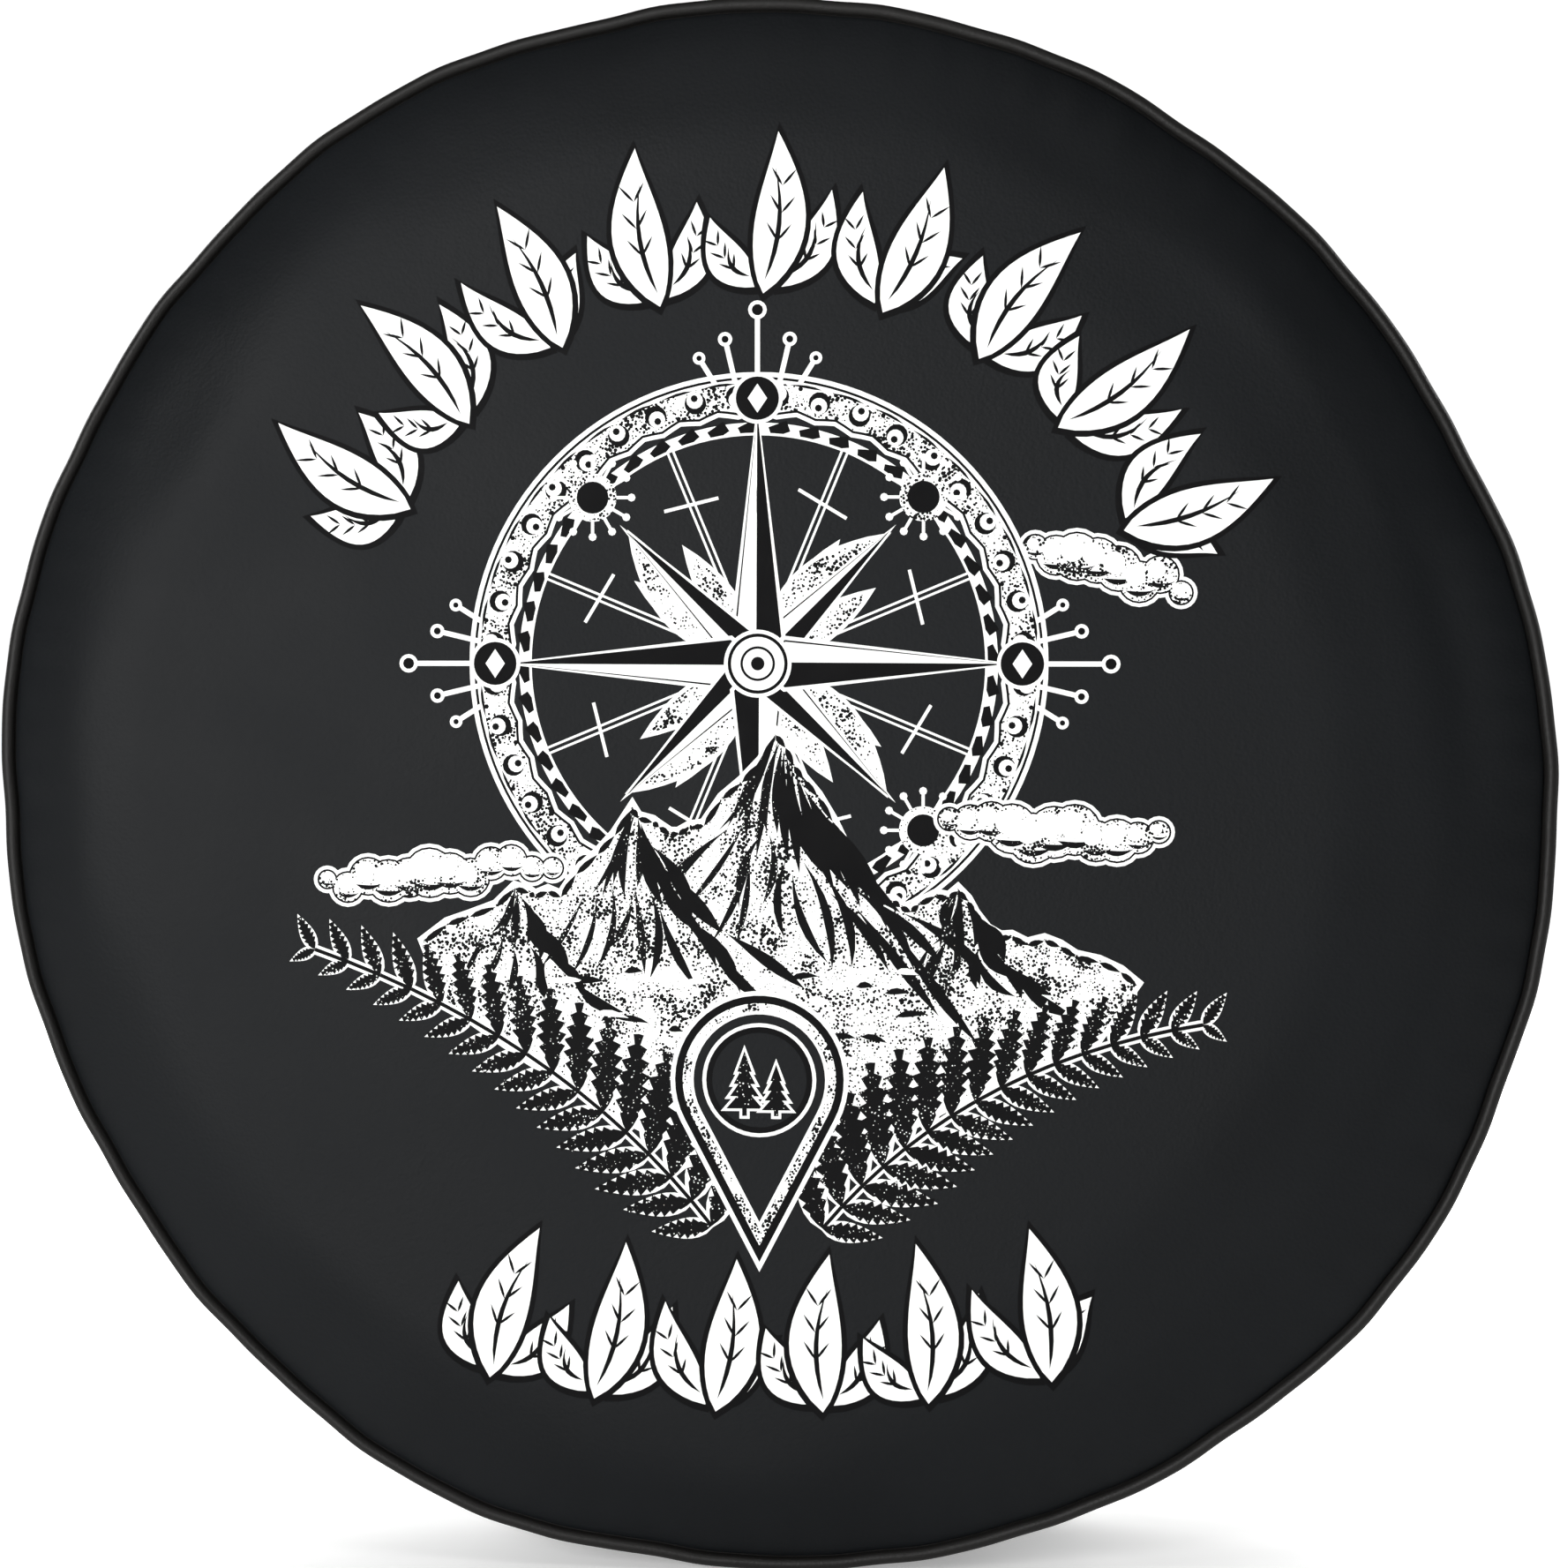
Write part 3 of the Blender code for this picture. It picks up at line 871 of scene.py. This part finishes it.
class COVER_OT_stitches(bpy.types.Operator):
    """Sews every seam, one stitch at a time: the piping seam, the band's joins and the hem"""

    bl_idname = "cover.stitches"
    bl_label = "Stitches"

    def execute(self, context):
        s, c = sizes(), colours()
        polyester = bonded_thread("bonded polyester thread", c.thread)
        lift = layers()[2] + s.fleece / 2 + s.thread * 0.3
        for name, side in (("seam_needle_thread", 1), ("seam_bobbin_thread", -1)):
            place = fin_point(9 * MM, side * lift)
            across = (side * math.sin(FIN_ANGLE), side * math.cos(FIN_ANGLE))
            self.ring(name, place, across, FRONT, polyester, fitted)
        rear, front = binding_legs()
        for name, leg, side in (("hem_needle_thread", rear, 1), ("hem_bobbin_thread", front, -1)):
            high = leg + side * (s.tape / 2 + s.thread * 0.3)
            place = (s.hem + s.binding - 4 * MM, HEM_Y + high)
            self.ring(name, place, (0, side), HEM, polyester, gathered, fitted)
        path = shifted(band_path(), -(s.vinyl / 2 + s.thread * 0.3))
        first = next(i for i, point in enumerate(path) if point[1] > SEAM_Y + 9 * MM)
        hem_edge = s.hem + s.binding + 6 * MM
        last = next(i for i, point in enumerate(path) if point[1] > 0 and point[0] < hem_edge)
        for side, sign in (("right", 1), ("left", -1)):
            for level, z in (("high", 5 * MM), ("low", -5 * MM)):
                name = "join_thread_" + side + "_" + level
                self.row(name, path[first:last], sign, z, polyester)
        return {"FINISHED"}

    def ring(self, name, place, lifted, body, material, *changes):
        """A row all round the cover, at one point of its section; lifted is the way out of the cloth."""
        s = sizes()
        count = round(math.tau * place[0] / s.stitch)
        turn = np.arange(count) / count * math.tau
        step = 0.3 * s.stitch / place[0]

        def at(t, lift=0.0):
            radius, y = place[0] + lifted[0] * lift, place[1] + lifted[1] * lift
            points = np.stack([radius * np.sin(t), np.full_like(t, y), radius * np.cos(t)], axis=1)
            for change in changes:
                points = change(points)
            return points

        along, out = at(turn + step) - at(turn - step), at(turn, MM) - at(turn)
        made = stitched(name + "_stitches", at(turn), along, out)
        finish_piece(made, body, "thread_black", material, name, angle=60)

    def row(self, name, path, sign, z, material):
        """A row along the band's section, at one height beside a join."""
        s = sizes()
        path = np.array(path)
        along = np.concatenate([[0], np.cumsum(np.hypot(*np.diff(path, axis=0).T))])
        places = np.arange(s.stitch / 2, along[-1], s.stitch)

        def at(distance, lift=0.0):
            radius, y = (np.interp(distance, along, path[:, i]) for i in (0, 1))
            ahead, rise = (np.interp(distance + 0.4 * MM, along, path[:, i]) for i in (0, 1))
            slope = np.stack([ahead - radius, rise - y], axis=1)
            slope /= np.linalg.norm(slope, axis=1, keepdims=True) + 1e-12
            radius, y = radius + lift * slope[:, 1], y - lift * slope[:, 0]
            points = np.stack([sign * np.sqrt(radius**2 - z**2), y, np.full_like(y, z)], axis=1)
            return fitted(gathered(points))

        ways, out = at(places + MM) - at(places - MM), at(places, MM) - at(places)
        made = stitched(name + "_stitches", at(places), ways, out)
        finish_piece(made, FRONT, "thread_black", material, name, angle=60)
        crumple(made)


# ---------------------------------------------------------------- artwork, in millimetres


def circle(centre, radius, sides=48, wave=0.0, count=0):
    turn = np.arange(sides) / sides * math.tau
    return centre + (radius + wave * np.cos(count * turn)) * np.exp(1j * turn)


def leaf(base, tip, wide, bend=0.0, steps=9, fullest=0.8):
    """A pointed oval from base to tip, bowed to its left by bend."""
    t = np.linspace(0, 1, steps)
    way = (tip - base) / abs(tip - base)
    spine = base + (tip - base) * t + 1j * way * bend * 4 * t * (1 - t)
    half = 1j * way * wide * np.sin(np.pi * t**fullest)
    return np.concatenate([spine - half, (spine + half)[-2:0:-1]])


def bar(first, last, wide, end=None):
    """A straight stroke, as wide as wide at its start and as end at its far end."""
    across = 1j * (last - first) / abs(last - first) / 2
    end = wide if end is None else end
    return np.array(
        [first - across * wide, last - across * end, last + across * end, first + across * wide]
    )


def grown(outline, by):
    """The outline moved outwards on every side."""
    points = np.array(outline)
    if np.sum(points.real * np.roll(points.imag, -1) - np.roll(points.real, -1) * points.imag) < 0:
        points = points[::-1]
    ahead = np.roll(points, -1) - points
    ahead /= abs(ahead)
    out = -1j * (ahead + np.roll(ahead, 1))
    out /= abs(out) + 1e-9
    return points + out * by / np.maximum(0.45, (out * np.conj(-1j * ahead)).real)


def compass(add, middle):
    """A wind rose in a ring of scrolls, with lozenges at its three free points."""
    for ink, radius in (("white", 136.8), ("black", 134.6), ("white", 133.4), ("pale", 131.8)):
        add(ink, circle(middle, radius, 120))
    for i in range(40):
        way = np.exp(1j * math.tau * (i + 0.5) / 40)
        sign = 1 if i % 2 else -1
        for ink, reach, radius in (("black", 125.6, 5.2), ("white", 125.6 + 1.5 * sign, 3.9)):
            add(ink, circle(middle + way * reach, radius, 14))
        add("black", circle(middle + way * (125.6 + 2.4 * sign), 1.7, 8))
        add("black", circle(middle + way * np.exp(0.5j * math.tau / 40) * (125.6 - 4.8 * sign), 1.2, 6))
        add("black", leaf(middle + way * 131.6, middle + way * np.exp(0.12j) * 131.6, 0.7, -0.4, 5))
    add("black", circle(middle, 119.2, 160, 1.1, 40))
    add("white", circle(middle, 118.0, 160, 1.1, 40))
    add(None, circle(middle, 116.0, 160, 1.1, 40))
    add("white", circle(middle, 113.2, 120))
    for i in range(48):
        way = np.exp(1j * math.tau * i / 48)
        add("black", bar(middle + way * 112.4, middle + way * np.exp(0.075j) * 108.6, 5.4))
    add("white", circle(middle, 108.4, 120))
    add(None, circle(middle, 107.2, 120))
    for i in range(8):
        way = np.exp(1j * math.tau * (i + 0.5) / 8)
        add("white", bar(middle + way * 14, middle + way * 107.4, 3.8))
        add(None, bar(middle + way * 14, middle + way * 107.4, 1.6))
        add("white", bar(middle + way * np.exp(-0.16j) * 80, middle + way * np.exp(0.16j) * 84, 1.6))
    for i in range(4):
        way = np.exp(1j * math.tau * (i + 0.5) / 4)
        for lean, far, wide in ((0.2, 66, 7), (-0.22, 62, 7), (0.0, 84, 10)):
            flame = leaf(middle + way * 8, middle + way * np.exp(1j * lean) * far, wide, 6 * (lean or 1), 13)
            add("white", grown(flame, 1.9))
            add("pale", flame)
    for i in range(8):
        way = np.exp(1j * math.tau * (i + 1) / 8)
        far, near = ((88, 13), (118, 17))[i % 2]
        left, right = middle + way * np.exp(0.72j) * near, middle + way * np.exp(-0.72j) * near
        tip = middle + way * far
        add("white", grown([middle, right, tip, left], 1.9))
        add("black", [middle, right, tip, left])
        add("white", grown([middle, tip, left], -0.9))
    for i, radius in enumerate((16.0, 14.2, 12.6, 8.2, 7.0, 3.2)):
        add(("white", "black")[i % 2], circle(middle, radius, 40))
    pins = ((0.0, 166, 4.4), (0.1, 153, 3.4), (-0.1, 153, 3.4), (0.19, 146, 3.0), (-0.19, 146, 3.0))
    for way in (1j, 1, -1):
        for lean, far, ball in pins:
            top = middle + way * np.exp(1j * lean) * far
            add("white", bar(middle + way * np.exp(0.8j * lean) * 133, top, 2.4))
            add("white", circle(top, ball, 16))
            add("black", circle(top, ball - 1.7, 10))
        place = middle + way * 124.6
        add("white", circle(place, 12.0, 32))
        add("black", circle(place, 10.2, 32))
        add("white", place + np.array([-4.6, -6.8j, 4.6, 6.8j]))
    for way in (1 + 1j, -1 + 1j, 1 - 1j):
        place = middle + way / abs(way) * 110.5
        for i in range(12):
            ray = np.exp(1j * math.tau * i / 12)
            add("white", bar(place + ray * 8, place + ray * 18, 1.5))
            add("white", circle(place + ray * 18.5, 1.9, 8))
        add("pale", circle(place, 11.4, 24))
        add("black", circle(place, 7.6, 24))


def peaks(add, chance):
    """A generic range of peaks, pale with inked gullies."""
    ridge = [-162 - 72j, -118 - 46j, -96 - 50j, -62 - 8j, -44 - 20j, -28 - 16j, 6 + 27j, 26 - 2j, 50 - 50j]
    ridge += [70 - 56j, 92 - 46j, 112 - 68j, 140 - 72j, 176 - 90j]
    fine = []
    for a, b in zip(ridge, ridge[1:]):
        for i in range(4):
            jitter = 0 if i == 0 else complex(chance.uniform(-2, 2), chance.uniform(-2.5, 2.5))
            fine.append(a + (b - a) * i / 4 + jitter)
    fine.append(ridge[-1])
    foot = [158 - 116j, 110 - 136j, 66 - 160j, 26 - 172j, -30 - 172j, -70 - 154j, -112 - 128j, -150 - 102j]
    add("white", grown(fine + foot, 2.4))
    add("pale", fine + foot)
    for peak, slopes in ((6 + 27j, 17), (-62 - 8j, 11), (-118 - 46j, 7), (92 - 46j, 10)):
        drop = abs(peak.imag + 112)
        for i in range(slopes):
            t = (i + 0.5) / slopes
            lean = -0.62 + 1.5 * t
            start = peak + drop * 0.10 * t * complex(0.5, -1) * 3 * t
            mid = start + complex(lean * drop * 0.34, -drop * (0.30 + 0.12 * chance.random()))
            across = lean * drop * 0.42 + chance.uniform(-6, 6)
            end = mid + complex(across, -drop * (0.22 + 0.18 * chance.random()))
            ink = "black" if t > 0.42 else "dark"
            add(ink, leaf(start, mid, 1.3 + 2.6 * t, chance.uniform(-5, 5), 9, 1.2))
            add(ink, leaf(mid + chance.uniform(-4, 4), end, 1.2 + 1.8 * t, chance.uniform(-5, 5), 7, 1.2))
    for a, b in zip(fine, fine[1:]):
        add("black", leaf(a - 1.2j, b - 1.2j, 1.5, 0, 5))
    for i in range(46):
        place = complex(chance.uniform(-110, 100), chance.uniform(-130, -84))
        end = place + complex(chance.uniform(7, 17), chance.uniform(-3, 3))
        add("white" if i % 2 else "black", leaf(place, end, 1.6, 1, 5))


def cloud(add, chance, first, last, puffs, big):
    """A flat bank of small puffs."""
    places = []
    for i in range(puffs):
        t = i / (puffs - 1)
        high = big * (0.55 + 0.6 * math.sin(math.pi * t)) * chance.uniform(0.8, 1.1)
        places.append((first + (last - first) * t + 1j * chance.uniform(-0.3, 0.5) * big, high))
    for ink, more in (("white", 2.6), ("black", 0.9), ("pale", 0.0)):
        for place, radius in places:
            add(ink, circle(place, radius + more, 20))
    for place, radius in places:
        add("white", circle(place + complex(-0.2, 0.28) * radius, radius * 0.52, 14))
        left, right = place + complex(-0.7, -0.45) * radius, place + complex(0.8, -0.4) * radius
        add("dark", leaf(left, right, 0.13 * radius, -0.2 * radius, 7))


def frond(add, base, tip, bow, side):
    """A fern: toothed leaflets in pairs along a bowed stalk."""
    t = np.linspace(0.03, 0.97, 16)
    control = (base + tip) / 2 + bow
    spine = (1 - t) ** 2 * base + 2 * t * (1 - t) * control + t**2 * tip
    way = 2 * (1 - t) * (control - base) + 2 * t * (tip - control)
    way /= abs(way)
    leaflets = []
    for i in range(len(t)):
        for hand in (1, -1):
            outer = hand == side
            far = (58 if outer else 40) * (1 - 0.83 * t[i]) ** 0.75 * (0.62 + 0.38 * min(1, 6 * t[i]))
            lean = way[i] * np.exp(1j * hand * (1.02 - 0.25 * t[i]))
            leaflets.append((spine[i], spine[i] + lean * far, far))
    for place, end, far in leaflets:
        add("white", grown(leaf(place, end, 0.135 * far + 0.6, 0, 9, 0.72), 0.8))
    for i in range(len(t) - 1):
        add("white", bar(spine[i], spine[i + 1], 4.6))
    for place, end, far in leaflets:
        teeth, line = 7, end - place
        across = 1j * line / far
        edge = [place]
        for k in range(teeth):
            share = (k + 0.6) / (teeth + 0.4)
            wide = far * 0.165 * math.sin(math.pi * share**0.72) + 0.6
            edge += [place + line * share - across * wide * 0.55]
            edge += [place + line * (share + 0.1) - across * wide]
        back = [place + line * ((p - place) / line).conjugate() for p in edge[:0:-1]]
        add("dark", edge + [end] + back)
    for i in range(len(t) - 1):
        add("black", bar(spine[i], spine[i + 1], 1.8))


def drop(add, middle, radius, tip):
    """A hanging drop with a small pine in a ring."""
    turn = np.radians(np.linspace(-28, 208, 34))
    edge = list(middle + radius * np.exp(1j * turn)) + [tip]
    for ink, by in (("white", 3.2), ("black", 1.0), ("pale", -2.6), ("white", -6.2), (None, -7.8)):
        add(ink, grown(edge, by))
    for ink, size in (("white", 27), ("black", 25.2), (None, 22.4)):
        add(ink, circle(middle, size, 44))
    for place, high in ((middle - 17j - 7, 29), (middle - 17j + 8, 23)):
        for ink, by in (("white", 1.3), ("dark", 0)):
            for k in range(4):
                low = place + 1j * high * (0.12 + 0.2 * k)
                wide = high * (0.30 - 0.06 * k)
                add(ink, grown([low - wide, low + wide, low + 1j * high * 0.34], by))
            add(ink, grown(bar(place, place + 1j * high * 0.2, 2.2), by))


# Three sprigs of three leaves, each from its base to its tip, with its half width and its bow
PLUMES = (
    ((0 - 37j, 7 + 38j, 12.5, 5), (5 - 34j, 29 + 6j, 9.5, -5), (-4 - 33j, -25 + 4j, 9.5, 5)),
    ((-3 - 37j, 2 + 39j, 12.0, -5), (4 - 34j, 28 + 12j, 9.0, -6), (-6 - 34j, -29 - 2j, 9.0, 5)),
    ((2 - 37j, 9 + 36j, 12.5, -4), (7 - 33j, 30 - 2j, 9.0, 5), (-3 - 34j, -24 + 14j, 9.5, 6)),
)


def plume_row(add, places):
    """Bold sprigs of ribbed leaves, outlined in black, that stand side by side."""
    for i, (place, up) in enumerate(places):
        for base, tip, wide, bend in reversed(PLUMES[i % 3]):
            way = (tip - base) / abs(tip - base)
            for ink, more in (("black", 2.6), ("white", 0.0)):
                blade = leaf(base - 1.6 * more * way, tip + 1.6 * more * way, wide + more, bend, 15)
                add(ink, place + blade * up * -1j)
            rib = leaf(base + 6 * way, tip - 16 * way, 1.2, bend * 0.9, 9, 0.7)
            add("black", place + rib * up * -1j)
            for t in (0.33, 0.50, 0.67):
                spot = base + (tip - base) * t + 1j * way * bend * 4 * t * (1 - t)
                for hand in (0.62j, -0.62j):
                    vein = leaf(spot, spot + way * np.exp(hand) * wide * 0.85, 0.7, 0, 5)
                    add("black", place + vein * up * -1j)


def artwork():
    """Every shape of the print, the lowest first: its ink, or None for bare vinyl, and its outline."""
    shapes, chance = [], random.Random(7)

    def add(ink, outline):
        points = np.array(outline, complex)
        shapes.append((ink, grown(points, 0.0)))

    cloud(add, chance, 128 + 116j, 196 + 94j, 8, 11)
    compass(add, -2.5 + 59.4j)
    peaks(add, chance)
    cloud(add, chance, -208 - 46j, -100 - 36j, 12, 9)
    cloud(add, chance, 88 - 18j, 186 - 22j, 11, 10)
    frond(add, -20 - 212j, -222 - 74j, 30 + 26j, -1)
    frond(add, 24 - 212j, 214 - 108j, -26 + 34j, 1)
    drop(add, -1.7 - 137j, 39, -1.7 - 221j)
    arch = [np.exp(1j * math.radians(90 + 62.5 - 16.0 * i)) for i in range(9)]
    plume_row(add, [(-1.7 + 46j + 224 * way, way) for way in arch])
    row = [-122 + 49.5 * i for i in range(6)]
    places = [x - 1j * (258 - 15 * (x / 125) ** 2) for x in row]
    plume_row(add, [(place, 1j * np.exp(0.0019j * place.real)) for place in places])
    return shapes


def cut_apart(shapes):
    """Points, triangles and the ink of each triangle, once what is covered is cut away."""
    points, faces = [], []
    for _, outline in shapes:
        faces.append(list(range(len(points), len(points) + len(outline))))
        points += [Vector((p.real, p.imag)) for p in outline]
    for step, low, high in ((9.0, 0, 288), (4.5, 288, 345)):  # finer where the face bends back
        line = np.arange(-348, 349, step)
        grid = (line[:, None] + 1j * line[None, :]).ravel()
        points += [Vector((p.real, p.imag)) for p in grid if low <= abs(p) < high]
    found, _, triangles, _, _, sources = delaunay_2d_cdt(points, [], faces, 0, 1e-4, True)
    inks = [shapes[max(source)][0] if source else None for source in sources]
    return found, triangles, inks


class COVER_OT_print(bpy.types.Operator):
    """Screens the artwork on the face: dense white and black, and two stippled tones between"""

    bl_idname = "cover.print"
    bl_label = "Print"

    def execute(self, context):
        s, c = sizes(), colours()
        found, triangles, inks = cut_apart(artwork())
        flat = np.array([(p.x, p.y) for p in found]) * MM
        depth = face_height(np.hypot(*flat.T)) - s.vinyl / 2 - s.film
        places = np.stack([flat[:, 0], depth, flat[:, 1]], axis=1)
        for ink, slot, material in (
            ("white", "ink_white", printed_ink("plastisol ink, white", c.white, 0.62)),
            ("black", "ink_black", printed_ink("plastisol ink, black", c.black, 0.66)),
            (
                "pale",
                "ink_white",
                stippled_ink("plastisol ink, white with black stipple", c.white, c.black, 0.31),
            ),
            (
                "dark",
                "ink_black",
                stippled_ink("plastisol ink, black with white stipple", c.black, c.white, 0.13),
            ),
        ):
            mine = [tuple(t) for t, i in zip(triangles, inks) if i == ink]
            used = sorted({v for t in mine for v in t})
            index = {v: k for k, v in enumerate(used)}
            faces = [[index[v] for v in t] for t in mine]
            piece = built("print_" + ink, places[used].tolist(), faces)
            shape(piece, fitted)
            thicken(piece, s.film)
            finish_piece(piece, FRONT, slot, material)
        return {"FINISHED"}


class COVER_OT_stage(bpy.types.Operator):
    """Lays pale paper, sets soft lights and stands the camera in front, a little to the right"""

    bl_idname = "cover.stage"
    bl_label = "Stage"

    def execute(self, context):
        scene = context.scene
        scene.view_settings.view_transform = "Standard"
        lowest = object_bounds()[0][2]
        bpy.ops.object.select_all(action="DESELECT")
        bpy.ops.mesh.primitive_plane_add(size=30, location=(0, 0, lowest - 0.4 * MM))
        floor = context.object
        floor.name = floor.data.name = "studio_floor"
        bpy.ops.object.transform_apply(location=True)
        # The paper's glow is painted light: weakest near the cover, brightest far off
        floor.data.materials.append(studio_paper("matte studio paper, painted glow", colours().floor))
        floor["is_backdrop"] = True
        self.sky(scene)
        for name, place, wide, power in LIGHTS:
            bpy.ops.object.light_add(type="AREA", location=place)
            light = context.object
            light.name = name
            light.data.shape = "DISK"
            light.data.size = wide
            light.data.energy = power
            self.aim(light, (0, -0.05, 0))
        bpy.ops.object.camera_add(location=CAMERA_FROM)
        camera = context.object
        camera.data.sensor_fit = "HORIZONTAL"
        camera.data.sensor_width = 36
        camera.data.lens = CAMERA_LENS
        self.aim(camera, CAMERA_AT)
        camera.data.clip_end = 50
        scene.camera = camera
        return {"FINISHED"}

    def aim(self, thing, place):
        """Turns a light or the camera towards a place."""
        way = Vector(place) - thing.location
        thing.rotation_euler = way.to_track_quat("-Z", "Y").to_euler()

    def sky(self, scene):
        """A white surround for the eye; what it lights the cover with falls off to the right."""
        world = bpy.data.worlds.new("white surround")
        scene.world = world
        world.use_nodes = True
        tree = world.node_tree
        tree.nodes.clear()
        way = add_node(tree, "ShaderNodeTexCoord").outputs["Generated"]
        split = add_node(tree, "ShaderNodeSeparateXYZ", links={"Vector": way})
        fall = add_node(
            tree,
            "ShaderNodeMapRange",
            {"From Min": -0.6, "From Max": 0.7, "To Min": 0.10, "To Max": 0.04},
            {"Value": split.outputs["X"]},
        )
        seen = add_node(tree, "ShaderNodeBackground", {"Color": (1, 1, 1, 1), "Strength": 1.05})
        lit = add_node(
            tree, "ShaderNodeBackground", {"Color": (0.93, 0.97, 1, 1)}, {"Strength": fall.outputs["Result"]}
        )
        ray = add_node(tree, "ShaderNodeLightPath").outputs["Is Camera Ray"]
        both = add_node(tree, "ShaderNodeMixShader", links={0: ray, 1: lit.outputs[0], 2: seen.outputs[0]})
        add_node(tree, "ShaderNodeOutputWorld", links={"Surface": both.outputs[0]})


CAMERA_FROM = (0.235, -2.42, 0.085)
CAMERA_AT = (0.0067, -0.10, 0.0023)
CAMERA_LENS = 113.7
# Each round softbox: its name, its place, its width and its power
LIGHTS = (
    ("softbox_key", (-1.2, -2.9, 0.42), 1.3, 83),
    ("softbox_top", (0.1, -1.7, 2.2), 1.0, 10),
    ("softbox_right", (2.5, 1.0, 1.4), 1.4, 55),
    ("softbox_left", (-2.4, 1.5, 1.1), 1.4, 40),
    ("softbox_rear", (-0.7, 2.6, 1.1), 1.5, 60),
)


class COVER_PT_panel(bpy.types.Panel):
    """Lists the cover's sizes and colours, and what makes each of its pieces"""

    bl_label = "Spare tyre cover"
    bl_space_type = "VIEW_3D"
    bl_region_type = "UI"
    bl_category = "Cover"

    def draw(self, context):
        for group in (context.scene.cover_sizes, context.scene.cover_colours):
            box = self.layout.box()
            for key in group.__annotations__:
                box.prop(group, key)
        for operator in MAKERS:
            self.layout.operator(operator.bl_idname)


MAKERS = (
    COVER_OT_face,
    COVER_OT_piping,
    COVER_OT_band,
    COVER_OT_hem,
    COVER_OT_stitches,
    COVER_OT_print,
    COVER_OT_stage,
)
CLASSES = (CoverSizes, CoverColours, *MAKERS, COVER_PT_panel)


def register():
    for item in CLASSES:
        bpy.utils.register_class(item)
    bpy.types.Scene.cover_sizes = PointerProperty(type=CoverSizes)
    bpy.types.Scene.cover_colours = PointerProperty(type=CoverColours)


def unregister():
    del bpy.types.Scene.cover_sizes, bpy.types.Scene.cover_colours
    for item in reversed(CLASSES):
        bpy.utils.unregister_class(item)


def main():
    register()
    for operator in MAKERS:
        group, name = operator.bl_idname.split(".")
        getattr(getattr(bpy.ops, group), name)()


if __name__ == "__main__":
    main()
